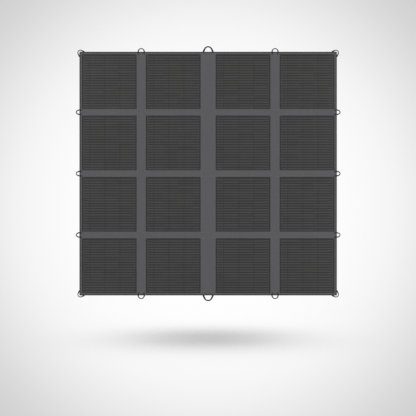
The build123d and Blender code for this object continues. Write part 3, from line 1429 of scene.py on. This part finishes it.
@dataclass(frozen=True)
class Cord:
    """A braided elastic cord.

    Fields: its width in the cloth's plane and its thickness, the length of one turn of its
    braid, its strands and how deep they show as a share of its size, then how many points it
    has around and how far apart its rings are.
    """

    wide: float = 4.8 * MM
    thick: float = 3.2 * MM
    braid_pitch: float = 4.2 * MM
    strands: int = 8
    relief: float = 0.07
    around: int = 20
    step: float = 0.7 * MM

    def tube(
        self,
        shape: Shape,
        path: Callable[[float], Vector],
        press: Callable[[float], tuple[float, float]],
    ) -> None:
        """Lay the cord along a path.

        Args:
            shape: the mesh that it joins.
            path: gives the point at a share from 0 to 1 of the way.
            press: gives its width and thickness there, as shares of its own sizes.
        """
        samples, reach = 200, 2e-3
        ways = [path(n / samples) for n in range(samples + 1)]
        length = sum((b - a).length for a, b in zip(ways, ways[1:]))
        count = max(8, round(length / self.step))
        turns = max(1, round(length / self.braid_pitch))
        rings = []
        for n in range(count + 1):
            share = n / count
            ahead, behind = path(min(share + reach, 1.0)), path(max(share - reach, 0.0))
            along = (ahead - behind).normalized()
            across = Vector((along.z, 0.0, -along.x)).normalized()
            up = along.cross(across).normalized()
            wide, thick = press(share)
            across, up = across * self.wide / 2 * wide, up * self.thick / 2 * thick
            rings.append(self.ring(path(share), across, up, 4 * math.pi * turns * share))
        shape.tube(rings)

    def ring(self, middle: Vector, across: Vector, up: Vector, twist: float) -> list[Point]:
        """One ring of the cord, swollen where a strand lies on top.

        Args:
            middle: the ring's middle.
            across: from there to the side of the cord.
            up: from there to its top.
            twist: how far the strands have turned, in radians.

        Returns:
            The ring's points.
        """
        ring = []
        for k in range(self.around):
            angle = 2 * math.pi * k / self.around
            wave = self.strands / 2 * angle
            strand = max(math.sin(wave + twist), math.sin(wave - twist))
            swell = 1 - self.relief + self.relief * strand
            out = (across * math.cos(angle) + up * math.sin(angle)) * swell
            ring.append(tuple(middle + out))
        return ring


@dataclass(frozen=True)
class Arch:
    """The path of a tie that stands on an edge, its two tails sewn flat on the cloth's front.

    Fields: the point on the edge below its crown, the ways along and out from the edge, half the
    distance between its feet and how far out the middle of the cord goes. Then how much its
    tails close in, their length, how upright its legs are, how far forward the tails lie and
    over what length they get there, and the share of the cord that each tail takes. Last come
    the cord's width at the crown and what the feet add to it, what the legs and the tails take
    off its thickness, and the shares of the cord over which each of these fades.
    """

    middle: Vector
    along: Vector
    out: Vector
    foot: float
    height: float
    lean: float = 3.0 * MM
    tail: float = 14.0 * MM
    spring: float = 0.78
    tail_forward: float = 1.15 * MM
    tail_slope: float = 5.0 * MM
    tail_share: float = 0.2
    crown_width: float = 1.1
    foot_width: float = 0.36
    foot_fade: float = 0.2
    leg_thin: float = 0.58
    leg_fade: float = 0.15
    tail_thin: float = 0.68
    tail_fade: float = 0.1
    tail_lead: float = 0.02

    def path(self, share: float) -> Vector:
        """The point at a share of the way along the loop.

        Args:
            share: the share, from 0 at one tail's end to 1 at the other's.

        Returns:
            The middle of the cord there.
        """
        nearest = min(share, 1 - share)
        if nearest < self.tail_share:
            way = -1 if share < 0.5 else 1
            depth = 1 - nearest / self.tail_share
            forward = self.tail_forward * smooth(depth * self.tail / self.tail_slope)
            aside = self.along * way * (self.foot - self.lean * depth)
            return self.middle + aside - self.out * self.tail * depth - Vector((0.0, forward, 0.0))
        t = (share - self.tail_share) / (1 - 2 * self.tail_share)
        rest = 1 - t
        weights = (rest**3, 3 * t * rest**2, 3 * t * t * rest, t**3)
        hip = self.foot * self.spring
        a = sum(w * at for w, at in zip(weights, (-self.foot, -hip, hip, self.foot)))
        b = (weights[1] + weights[2]) * self.height / CURVE_CROWN
        return self.middle + self.along * a + self.out * b

    def press(self, share: float) -> tuple[float, float]:
        """How the cord is pressed: narrow at the crown, wider at the feet, flat in the tails.

        Args:
            share: the share of the way along the loop.

        Returns:
            Its width and thickness as shares of its own.
        """
        past_tail = min(share, 1 - share) - self.tail_share
        flat = smooth((self.tail_lead - past_tail) / self.tail_fade)
        foot = 1 - smooth(past_tail / self.foot_fade)
        leg = 1 - smooth(past_tail / self.leg_fade)
        thin = max(self.leg_thin * leg, self.tail_thin * flat)
        return self.crown_width + self.foot_width * foot, 1.0 - thin


@dataclass(frozen=True)
class CornerLoop:
    """The path of a tie round a corner: a round end with two straight legs down to the edges.

    Fields: the cloth's corner, -1 for a left corner or 1, 1 for a top corner or -1, the radius
    of the round end, how far in its middle lies from both edges and how far from the corner
    the feet stand. Then the cord's width at the corner, what the feet add to it and take off
    its thickness, and the shares of the cord over which they do.
    """

    corner: Vector
    sign: int
    up: int
    radius: float
    inset: float
    foot: float
    crown_width: float = 0.95
    foot_width: float = 0.60
    width_fade: float = 0.42
    foot_thin: float = 0.5
    thin_fade: float = 0.1

    def path(self, share: float) -> Vector:
        """The point at a share of the way: leg, round end, leg.

        Args:
            share: the share, from 0 at one foot to 1 at the other.

        Returns:
            The middle of the cord there.
        """
        gap = math.hypot(self.foot - self.inset, self.inset)
        turn = math.atan2(self.inset, self.foot - self.inset) + math.acos(self.radius / gap)
        bend = self.radius * (math.radians(270) - 2 * turn)
        leg = math.sqrt(gap * gap - self.radius * self.radius)
        walked = share * (2 * leg + bend)
        angle = turn + min(max(walked - leg, 0.0), bend) / self.radius
        along = self.inset + self.radius * math.cos(angle)
        out = self.radius * math.sin(angle) - self.inset
        before, after = leg - walked, walked - leg - bend
        if before > 0:
            along += before * math.sin(turn)
            out -= before * math.cos(turn)
        elif after > 0:
            along += after * math.cos(turn)
            out -= after * math.sin(turn)
        return self.corner + Vector((-self.sign * along, 0.0, self.up * out))

    def press(self, share: float) -> tuple[float, float]:
        """How the cord is pressed: wide and flat at the feet, narrow round the corner.

        Args:
            share: the share of the way along the loop.

        Returns:
            Its width and thickness as shares of its own.
        """
        nearest = min(share, 1 - share)
        foot, flat = smooth(1 - nearest / self.width_fade), smooth(1 - nearest / self.thin_fade)
        return self.crown_width + self.foot_width * foot, 1.0 - self.foot_thin * flat


@dataclass
class Ties:
    """The elastic ties: rings round the corners, and arches over the folds."""

    cloth: Cloth
    cord: Cord = field(default_factory=Cord)
    gather: float = 0.94
    proud: float = 21.0 * MM
    end_span: float = 40.0 * MM
    end_bend: float = 5.0 * MM
    side_span: float = 30.0 * MM
    corner_radius: float = 15.6 * MM
    corner_inset: float = 4.4 * MM
    corner_foot: float = 26.0 * MM
    knuckle: float = 0.47
    cut_tries: int = 2000
    tail_top: float = 1.25 * MM
    tack_depth: float = 10.5 * MM
    tack_stitches: int = 9
    tack_pitch: float = 0.65 * MM
    tack_half: float = 1.5 * MM
    tack_slant: float = 0.3 * MM
    tack_bulk: float = 0.26 * MM
    tack_bulk_behind: float = 0.15 * MM
    tack_rise: float = 0.92

    def arch(self, spot: Point, along: Vector, out: Vector, span: float) -> Arch:
        """An arch over a fold, drawn in a little by the elastic.

        Args:
            spot: the point on the edge below its crown.
            along: the way along the edge.
            out: the way out from the cloth.
            span: its full width.

        Returns:
            The arch.
        """
        foot = self.gather * (span - self.cord.wide) / 2
        return Arch(Vector(spot), along, out, foot, self.gather * self.proud - self.cord.wide / 2)

    def tack(self, shape: Shape, x: float, z: float, along: Vector, out: Vector) -> None:
        """Add a bar of close zigzag stitches through one tail and the cloth.

        Args:
            shape: the mesh that they join.
            x: the place across of the tail, on the edge.
            z: its height.
            along: the way along the edge.
            out: the way out from the cloth.
        """
        faces = (
            (Side.FRONT, self.tail_top, self.tack_bulk),
            (Side.BACK, 0.0, self.tack_bulk_behind),
        )
        half = self.tack_stitches // 2
        for side, lift, bulk in faces:
            face = Vector((0.0, -side.value, 0.0))
            for n in range(-half, half + 1):
                ends = []
                for b, shift in ((-self.tack_half, 0.0), (self.tack_half, self.tack_slant)):
                    spot = Vector((x, 0.0, z)) + along * (n * self.tack_pitch + shift)
                    spot -= out * (self.tack_depth - b)
                    forward = self.cloth.forward(spot.x, spot.z, side) + side.value * lift
                    ends.append(Vector(self.cloth.layout.at(spot.x, forward, spot.z)))
                shape.lozenge(ends, face, bulk, bulk * self.tack_rise)

    def end_ties(self) -> None:
        """Build the ties on the top and bottom edges, over the folds of the outer columns."""
        layout = self.cloth.layout
        along = Vector((1.0, 0.0, 0.0))
        folds = (("left", "c2", -1, 1, 1), ("right", "c3", 1, 4, 3))
        for name, tile, sign, crease, column in folds:
            inner = layout.creases[crease]
            cells = layout.cells[FIRST_ROW, column], layout.cells[FIRST_ROW, column + 1]
            middle = (cells[0].right + cells[1].left) / 2
            for at, row, z, up in layout.ends():
                out = Vector((0.0, 0.0, up))
                arch = self.arch(layout.at(middle, 0.0, z), along, out, self.end_span)
                node = f"end_tie_{at}_{name}"
                if up > 0:
                    shape = Shape()
                    self.cord.tube(shape, arch.path, arch.press)
                    piece = shape.to_object(f"tie_top_{name}", [self.cloth.finishes.elastic])
                    reach = self.end_bend * sign
                    start, end = (layout.at(inner + way * reach, 0.0, z) for way in (-1, 1))
                    on_tile, on_band = body_name(tile, row), body_name(name, row)
                    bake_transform(piece)
                    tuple(start)
                    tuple(end)
                    declare(piece, Slot.ELASTIC, node=node)
                else:
                    self.split_tie(arch, inner, sign, tile, name, node)
                for way in (-1, 1):
                    x = middle + way * (arch.foot - arch.lean * self.tack_depth / arch.tail)
                    strip = tile if (x - inner) * sign < 0 else name
                    shape = Shape()
                    self.tack(shape, x, z, along, out)
                    thread = [self.cloth.finishes.thread]
                    piece = shape.to_object(f"bar_tack_{at}_{strip}_{name}", thread)
                    declare(piece, Slot.ELASTIC, body=body_name(strip, row))

    def split_tie(
        self, arch: Arch, inner: float, sign: int, tile: str, name: str, node: str
    ) -> None:
        """Build a bottom tie in two lengths that meet at the crease in a knuckle.

        Args:
            arch: the whole tie's path.
            inner: the crease.
            sign: -1 for the left tie and 1 for the right.
            tile: the strip on the inner side of the crease.
            name: the band on its outer side.
            node: the CAD node that the tie stands for.
        """
        quarter = self.cut_tries // 4
        tries = (n / self.cut_tries for n in range(quarter, 3 * quarter + 1))
        cut = min((abs(arch.path(share).x - inner), share) for share in tries)[1]
        lengths = ((0.0, cut), (cut, 1.0))
        on_tile, on_band = lengths if sign > 0 else reversed(lengths)
        elastic = [self.cloth.finishes.elastic]
        for (low, high), strip, label in ((on_tile, tile, "inner"), (on_band, name, "outer")):

            def path(share: float, low: float = low, high: float = high) -> Vector:
                """This length's share of the whole path."""
                return arch.path(low + (high - low) * share)

            def press(share: float, low: float = low, high: float = high) -> tuple[float, float]:
                """This length's share of the whole cord's width and thickness."""
                return arch.press(low + (high - low) * share)

            shape = Shape()
            self.cord.tube(shape, path, press)
            piece = shape.to_object(f"tie_bottom_{name}_{label}", elastic)
            declare(piece, Slot.ELASTIC, node=node, body=body_name(strip, LAST_ROW))
        spot, levels, around = arch.path(cut), 8, 16
        thick, wide = self.knuckle * self.cord.thick, self.knuckle * self.cord.wide
        rings = []
        for n in range(1, levels):
            lean = math.pi * n / levels - math.pi / 2
            reach, rise = thick * math.cos(lean), wide * math.sin(lean)
            ring = []
            for k in range(around):
                turn = 2 * math.pi * k / around
                out = Vector((reach * math.cos(turn), reach * math.sin(turn), rise))
                ring.append(tuple(spot + out))
            rings.append(ring)
        shape = Shape()
        shape.tube(rings)
        piece = shape.to_object(f"tie_bottom_{name}_bend", elastic)
        declare(piece, Slot.ELASTIC, node=node, body=body_name(tile, LAST_ROW))

    def side_ties(self) -> None:
        """Build the ties on the left and right edges, over the row lines."""
        layout = self.cloth.layout
        along = Vector((0.0, 0.0, 1.0))
        for name, column, x, sign in layout.sides():
            out = Vector((sign, 0.0, 0.0))
            nodes = (f"ties_top_{name}", f"tie_middle_{name}", f"ties_bottom_{name}")
            for line, (z, node) in enumerate(zip(layout.row_lines, nodes), 1):
                arch = self.arch(layout.at(x, 0.0, z), along, out, self.side_span)
                arch = replace(arch, lean=0.0)
                shape, tacks = Shape(), Shape()
                self.cord.tube(shape, arch.path, arch.press)
                piece = shape.to_object(f"tie_{name}_{line}", [self.cloth.finishes.elastic])
                self.cloth.attach(piece, column, line)
                declare(piece, Slot.ELASTIC, node=node)
                for way in (-1, 1):
                    self.tack(tacks, x, z + way * arch.foot, along, out)
                thread = [self.cloth.finishes.thread]
                piece = tacks.to_object(f"bar_tacks_{name}_{line}", thread)
                self.cloth.attach(piece, column, line)
                declare(piece, Slot.ELASTIC)

    def corner_ties(self) -> None:
        """Build the ties round the four corners."""
        layout = self.cloth.layout
        radius = self.corner_radius - self.cord.wide / 2
        sizes = (radius, self.corner_inset, self.corner_foot)
        for name, column, x, sign in layout.sides():
            for at, row, z, up in layout.ends():
                loop = CornerLoop(Vector(layout.at(x, 0.0, z)), sign, up, *sizes)
                shape = Shape()
                self.cord.tube(shape, loop.path, loop.press)
                elastic = [self.cloth.finishes.elastic]
                piece = shape.to_object(f"corner_tie_{at}_{name}", elastic)
                body = body_name(column, row)
                declare(piece, Slot.ELASTIC, node=f"ties_{at}_{name}", body=body)

    def build(self) -> None:
        """Build all the ties."""
        self.end_ties()
        self.side_ties()
        self.corner_ties()


@dataclass
class CarryLoops:
    """The two thick loops behind the centre band, each held by a sewn webbing tab.

    The corners give half of a loop's shape: how far across, as a share of half its width, and
    how far out, as a share of its depth behind the tab below 0 and of its height above.
    """

    cloth: Cloth
    cord: Cord = Cord(6.5 * MM, 5.0 * MM, 5.6 * MM, 10, 0.08, 24, 0.8 * MM)
    span: float = 59.0 * MM
    proud: float = 31.0 * MM
    gather: float = 0.92
    depth: float = 10.0 * MM
    room: float = 0.3 * MM
    corners: tuple[Spot, ...] = (
        (0.02, -1.0),
        (0.3, -1.0),
        (0.7, -1.0),
        (1.08, -0.95),
        (1.08, -0.1),
        (0.90, 0.36),
        (0.66, 0.80),
        (0.32, 1.05),
    )
    tab_wide: float = 38.0 * MM
    tab_tall: float = 17.0 * MM
    tab_thick: float = 0.9 * MM
    tab_sink: float = 0.1 * MM
    tab_rim: float = 0.5 * MM
    rim_least: float = 0.25
    hump_share: float = 0.36
    cover: float = 0.6 * MM
    rib_rise: float = 0.10 * MM
    rib_step: float = 1.6 * MM
    stitch_insets: Spot = (2.0 * MM, 1.5 * MM)
    crown_width: float = 1.08
    leg_width: float = 0.40
    leg_start: float = 0.06
    leg_fade: float = 0.16
    stitch_pitch: float = 2.6 * MM
    stitch_gap: float = 0.12
    stitch_lift: float = 0.1 * MM
    stitch_radius: float = 0.3 * MM
    stitch_rise: float = 0.24 * MM

    def loop(self, shape: Shape, z: float, up: int) -> None:
        """Add the cord: one round arch whose ends meet behind the tab.

        Args:
            shape: the mesh that it joins.
            z: the height of the edge.
            up: 1 for the top loop and -1 for the bottom one.
        """
        layout = self.cloth.layout
        behind = layout.half_cloth + self.room + self.cord.thick / 2
        foot = self.gather * (self.span - self.cord.wide) / 2
        height = (self.gather + 1) / 2 * (self.proud - self.cord.wide / 2)
        base = Vector(layout.at(0.0, -behind, z))
        half = [(a * foot, b * (self.depth if b < 0 else height)) for a, b in self.corners]
        corners = [(-a, b) for a, b in half] + half[::-1]

        def path(share: float) -> Vector:
            """The point at a share of the way round, on a cubic spline near the corners.

            Args:
                share: the share, from 0 at one end to 1 at the other.

            Returns:
                The middle of the cord there.
            """
            spot = min(max(share, 0.0), 1.0) * (len(corners) - 3)
            n = min(int(spot), len(corners) - 4)
            t = spot - n
            weights = (
                (1 - t) ** 3 / 6,
                (3 * t**3 - 6 * t * t + 4) / 6,
                (-3 * t**3 + 3 * t * t + 3 * t + 1) / 6,
                t**3 / 6,
            )
            a = sum(w * corner[0] for w, corner in zip(weights, corners[n:]))
            b = sum(w * corner[1] for w, corner in zip(weights, corners[n:]))
            return base + Vector((a, 0.0, up * b))

        def press(share: float) -> tuple[float, float]:
            """The legs are a little wider than the crown."""
            leg = smooth((abs(share - 0.5) - self.leg_start) / self.leg_fade)
            return self.crown_width + self.leg_width * leg, 1.0

        self.cord.tube(shape, path, press)

    def tab(self, shape: Shape, z: float) -> None:
        """Add the webbing tab, which lies on the cloth and swells over the cord.

        Args:
            shape: the mesh that it joins.
            z: the height of its middle.
        """
        layout = self.cloth.layout
        half_wide, half_tall, half_cloth = self.tab_wide / 2, self.tab_tall / 2, layout.half_cloth
        xs = stations(-half_wide, half_wide, self.rib_step)
        proud, flat = self.room + self.cord.thick + self.cover, self.tab_thick
        front, back = [], []
        for v in stations(-half_tall, half_tall, self.rib_step / 2):
            hump = math.sqrt(max(0.0, 1 - (v / (self.hump_share * self.tab_tall)) ** 2))
            for x in xs:
                margin = min(half_wide - abs(x), half_tall - abs(v))
                rim = max(min(1.0, margin / self.tab_rim), self.rim_least)
                ribs = self.rib_rise * math.cos(math.pi * x / self.rib_step)
                deep = flat + (proud - flat) * smooth(hump) + ribs
                front.append(layout.at(x, self.tab_sink - half_cloth, z + v))
                back.append(layout.at(x, -(half_cloth + deep * rim), z + v))
        shape.quilt(front, back, len(xs))

    def box_stitch(self, shape: Shape, z: float) -> None:
        """Add the box of close stitches that holds the tab, on the front of the cloth.

        Args:
            shape: the mesh that it joins.
            z: the height of the tab's middle.
        """
        aside, level = self.stitch_insets
        wide, tall = self.tab_wide / 2 - aside, self.tab_tall / 2 - level
        corners = Rect(-wide, wide, z - tall, z + tall).outline()
        face = Vector((0.0, -1.0, 0.0))
        for start, end in zip(corners, corners[1:]):
            for ends in stitch_ends(start, end, self.stitch_pitch, self.stitch_gap):
                spots = []
                for x, height in ends:
                    forward = self.cloth.forward(x, height, Side.FRONT) + self.stitch_lift
                    spots.append(Vector(self.cloth.layout.at(x, forward, height)))
                shape.lozenge(spots, face, self.stitch_radius, self.stitch_rise)

    def build(self) -> None:
        """Build both loops with their tabs."""
        finishes = self.cloth.finishes
        for at, row, z, up in self.cloth.layout.ends():
            cord, tab, thread = Shape(), Shape(), Shape()
            self.loop(cord, z, up)
            self.tab(tab, z - up * self.depth)
            self.box_stitch(thread, z - up * self.depth)
            node, body = f"carry_loop_{at}", body_name("centre", row)
            for shape, name, finish, stands_for in (
                (cord, f"carry_cord_{at}", finishes.elastic, node),
                (tab, f"carry_tab_{at}", finishes.webbing, node),
                (thread, f"tab_stitches_{at}", finishes.dark_thread, ""),
            ):
                piece = shape.to_object(name, [finish])
                declare(piece, Slot.ELASTIC, node=stands_for, body=body)


# ---------------------------------------------------------------- junction box


@dataclass
class JunctionBox:
    """The box behind the inner left sheet: its CAD pieces dressed, and small ones added.

    The levels of a plate are its depths along Y from where it starts, each with how far its
    outline is drawn in there.
    """

    cloth: Cloth
    corner_steps: int = 5
    gasket_corner: float = 5.0 * MM
    gasket_levels: tuple[Spot, ...] = (
        (-0.25 * MM, 0.3 * MM),
        (-0.15 * MM, -0.25 * MM),
        (0.15 * MM, -0.25 * MM),
        (0.25 * MM, 0.3 * MM),
    )
    patch_room: float = 11.0 * MM
    patch_corner: float = 8.0 * MM
    patch_levels: tuple[Spot, ...] = (
        (0.05 * MM, 0.0),
        (0.45 * MM, 0.0),
        (0.6 * MM, 0.35 * MM),
    )
    patch_seam: float = 3.2 * MM
    patch_pitch: float = 4.0 * MM
    patch_gap: float = 0.1
    stitch_radius: float = 0.28 * MM
    stitch_rise: float = 0.24 * MM
    pad_margins: Spot = (15.0 * MM, 9.0 * MM)
    pad_corner: float = 3.0 * MM
    pad_levels: tuple[Spot, ...] = (
        (-0.2 * MM, 0.0),
        (0.35 * MM, 0.0),
        (0.6 * MM, 0.4 * MM),
    )
    ribs: int = 18
    rib_foot: float = 5.7 * MM
    rib_levels: tuple[Spot, ...] = (
        (2.6 * MM, 5.9 * MM),
        (3.2 * MM, 6.55 * MM),
        (9.6 * MM, 6.55 * MM),
        (10.4 * MM, 5.9 * MM),
    )
    rib_widths: Spot = (1.2 * MM, 0.7 * MM)

    def dress(self) -> None:
        """Give the box's CAD pieces their finishes."""
        finishes = self.cloth.finishes
        looks = {
            "junction_box_base": finishes.box,
            "junction_box_cover": finishes.box,
            "junction_box_screws": finishes.screw,
            "cable_gland": finishes.gland,
        }
        for node, material in looks.items():
            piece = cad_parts[node]
            piece.data.materials.clear()
            piece.data.materials.append(material)
            for polygon in piece.data.polygons:
                polygon.material_index = 0
            LOG.info("%s: %s", node, material.name)

    def slab(
        self,
        name: str,
        rect: Rect,
        corner: float,
        start: float,
        levels: Sequence[Spot],
        finish: Material,
    ) -> Piece:
        """A rounded plate.

        Args:
            name: the piece's name.
            rect: its outline.
            corner: the radius of its corners.
            start: the Y that its levels count from.
            levels: its depths, each with how far the outline is drawn in.
            finish: its material.

        Returns:
            The piece.
        """
        rings = []
        for depth, inset in levels:
            outline = rect.grown(-inset).rounded(corner, self.corner_steps)
            rings.append([(x, start + depth, z) for x, z in outline])
        shape = Shape()
        shape.tube(rings)
        piece = shape.to_object(name, [finish])
        soften(piece, 30.0)
        return piece

    def patch_stitches(self, rect: Rect, y: float) -> Piece:
        """The stitches round the sewn patch.

        Args:
            rect: the line that they follow.
            y: the depth of the patch's surface.

        Returns:
            The piece.
        """
        thread, corners = Shape(), rect.outline()
        face = Vector((0.0, 1.0, 0.0))
        for start, end in zip(corners, corners[1:]):
            for ends in stitch_ends(start, end, self.patch_pitch, self.patch_gap):
                spots = [Vector((x, y, z)) for x, z in ends]
                thread.lozenge(spots, face, self.stitch_radius, self.stitch_rise)
        return thread.to_object("patch_stitches", [self.cloth.finishes.thread])

    def nut_ribs(self) -> Piece:
        """The grip ribs round the gland's nut.

        Returns:
            The piece.
        """
        low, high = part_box("cable_gland")
        shape = Shape()
        for n in range(self.ribs):
            turn = 2 * math.pi * n / self.ribs
            spoke = Vector((math.cos(turn), math.sin(turn), 0.0))
            side = Vector((-math.sin(turn), math.cos(turn), 0.0))
            wide, narrow = (side * width / 2 for width in self.rib_widths)
            rings = []
            for rise, reach in self.rib_levels:
                middle = Vector(((low.x + high.x) / 2, (low.y + high.y) / 2, low.z + rise))
                foot, tip = middle + spoke * self.rib_foot, middle + spoke * reach
                ring = (foot - wide, tip - narrow, tip + narrow, foot + wide)
                rings.append([tuple(point) for point in ring])
            shape.tube(rings)
        return shape.to_object("gland_nut_ribs", [self.cloth.finishes.gland], flat=True)

    def build(self) -> None:
        """Dress the CAD pieces and add the small ones."""
        self.dress()
        finishes, layout = self.cloth.finishes, self.cloth.layout
        low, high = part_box("junction_box_base")
        rect = Rect(low.x, high.x, low.z, high.z)
        seam, outside = (corner.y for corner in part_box("junction_box_cover"))
        back = layout.cloth_y + layout.half_cloth
        patch = rect.grown(self.patch_room)
        aside, level = self.pad_margins
        pad = Rect(rect.left + aside, rect.right - aside, rect.bottom + level, rect.top - level)
        surface = back + self.patch_levels[-1][0]
        plates = (
            ("cover_gasket", rect, self.gasket_corner, seam, self.gasket_levels, finishes.gasket),
            ("box_patch", patch, self.patch_corner, back, self.patch_levels, finishes.binding),
            ("cover_pad", pad, self.pad_corner, outside, self.pad_levels, finishes.box),
        )
        slabs = [self.slab(*plate) for plate in plates]
        stitches = self.patch_stitches(patch.grown(-self.patch_seam), surface)
        pieces = [*slabs, stitches, self.nut_ribs()]
        slots = (Slot.BOX, Slot.CLOTH, Slot.BOX, Slot.CLOTH, Slot.GLAND)
        for piece, slot in zip(pieces, slots):
            declare(piece, slot, body=body_name("c2", 1))


# ---------------------------------------------------------------- studio


@dataclass
class Studio:
    """A pale seamless studio: a bright surround, a faint painted shadow on the floor, soft lights
    and a camera.
    """

    layout: Layout
    lens: float = 50.0
    sensor: float = 36.0
    clip: Range = (0.05, 60.0)
    away: float = 3.0700
    aside: float = 0.0008
    below_middle: float = 0.1828
    floor_below: float = 0.229
    floor_inner: float = 0.02
    floor_step: float = 0.1
    floor_rings: int = 17
    floor_around: int = 48
    # How far the painted shadow reaches across and deep, and how opaque it is at its middle.
    painted_shadow: Spot = (0.475, 0.25)
    painted_shadow_strength: float = 0.66

    def surround(self) -> None:
        """Light the surround, brightest behind the blanket and softly greyer to the sides."""
        world = bpy.data.worlds.new("studio")
        bpy.context.scene.world = world
        world.use_nodes = True
        tree = world.node_tree
        background = next(n for n in tree.nodes if n.type == "BACKGROUND")
        place = tree.nodes.new("ShaderNodeTexCoord")
        dot = tree.nodes.new("ShaderNodeVectorMath")
        dot.operation = "DOT_PRODUCT"
        dot.inputs[1].default_value = (0.0, 1.0, 0.0)
        ramp = tree.nodes.new("ShaderNodeValToRGB")
        ramp.color_ramp.interpolation = "B_SPLINE"
        elements = ramp.color_ramp.elements
        elements[0].position = SURROUND[0][0]
        elements[1].position = SURROUND[-1][0]
        for position, _ in SURROUND[1:-1]:
            elements.new(position)
        for element, (_, grey) in zip(elements, SURROUND):
            element.color = (grey, grey, grey, 1.0)
        tree.links.new(place.outputs["Generated"], dot.inputs[0])
        tree.links.new(dot.outputs["Value"], ramp.inputs["Fac"])
        tree.links.new(ramp.outputs["Color"], background.inputs["Color"])
        background.inputs["Strength"].default_value = 1.0

    def painted_shadow_finish(self) -> Material:
        """A painted shadow: a matt grey that fades out to clear from a soft pool under the
        blanket.

        Returns:
            The material.
        """
        n = Nodes("painted_shadow_floor")
        axes = n.add("ShaderNodeSeparateXYZ")
        n.join(n.place, axes.inputs[0])
        across, deep = (
            n.math("POWER", n.math("DIVIDE", axes.outputs[axis], reach), 2.0)
            for axis, reach in zip("XY", self.painted_shadow)
        )
        # The painted shadow: a soft grey pool, opaque in its middle and clear further out.
        painted_shadow = n.math("EXPONENT", n.math("MULTIPLY", n.math("ADD", across, deep), -1.0))
        n.plain(Base_Color=(0.42, 0.42, 0.43, 1.0), Roughness=0.9, Specular_IOR_Level=0.0)
        n.join(n.math("MULTIPLY", painted_shadow, self.painted_shadow_strength), n.shader.inputs["Alpha"])
        return n.material

    def floor(self) -> None:
        """Lay a round floor that shows only as a soft shadow painted under the blanket."""
        z = self.layout.edge.bottom - self.floor_below
        around, points = self.floor_around, []
        for n in range(self.floor_rings):
            reach = self.floor_inner + self.floor_step * n
            for k in range(around):
                turn = 2 * math.pi * k / around
                y = self.layout.cloth_y + reach * math.sin(turn)
                points.append((reach * math.cos(turn), y, z))
        faces: list[Face] = [tuple(range(around))]
        for n in range(self.floor_rings - 1):
            for k in range(around):
                a, b = n * around + k, n * around + (k + 1) % around
                faces.append((a, a + around, b + around, b))
        shape = Shape()
        shape.add(points, faces)
        shape.to_object("floor", [self.painted_shadow_finish()])
        LOG.info("floor at %.3f m", z)

    def lamp(self, name: str, place: Point, size: tuple[float, float], power: float) -> None:
        """Hang a soft rectangular light that faces the blanket's middle.

        Args:
            name: the light's name.
            place: where it hangs.
            size: its width and height.
            power: its power in watts.
        """
        data = bpy.data.lights.new(name, "AREA")
        data.shape = "RECTANGLE"
        data.size, data.size_y = size
        data.energy = power
        lamp = bpy.data.objects.new(name, data)
        bpy.context.scene.collection.objects.link(lamp)
        lamp.location = place
        lamp.rotation_mode = "QUATERNION"
        facing = Vector((0.0, 0.0, self.layout.middle_z())) - Vector(place)
        lamp.rotation_quaternion = facing.to_track_quat("-Z", "Y")

    def camera(self) -> None:
        """Place a level camera straight in front, a little below the blanket's middle."""
        data = bpy.data.cameras.new("camera")
        data.lens, data.sensor_width = self.lens, self.sensor
        data.clip_start, data.clip_end = self.clip
        camera = bpy.data.objects.new("camera", data)
        bpy.context.scene.collection.objects.link(camera)
        y, z = self.layout.cloth_y - self.away, self.layout.middle_z() - self.below_middle
        camera.location = (-self.aside, y, z)
        camera.rotation_euler = (math.radians(90), 0.0, 0.0)
        bpy.context.scene.camera = camera

    def build(self) -> None:
        """Set up the surround, floor, lights and camera."""
        view = bpy.context.scene.view_settings
        view.view_transform, view.look = "Standard", "None"
        self.surround()
        self.floor()
        self.lamp("key_left", (-2.2, -2.6, 1.4), (1.6, 1.6), 7.0)
        self.lamp("fill_right", (2.6, -2.4, 0.2), (1.8, 1.8), 8.5)
        self.lamp("top", (0.0, 0.2, 1.8), (2.4, 1.2), 8.0)
        self.lamp("back_left", (-2.0, 2.8, 1.2), (1.8, 1.8), 14.0)
        self.camera()
        LOG.info("studio ready")


def main() -> None:
    """Build the studio and the blanket in order."""
    logging.basicConfig(level=logging.INFO, format="%(name)s: %(message)s")
    layout = Layout.from_frame()
    finishes = Finishes()
    cloth = Cloth(layout, finishes)
    Studio(layout).build()
    cloth.build()
    CellSheets(layout, finishes).build()
    Binding(cloth).build()
    Stitching(cloth).build()
    Ties(cloth).build()
    CarryLoops(cloth).build()
    JunctionBox(cloth).build()


if __name__ == "__main__":
    main()
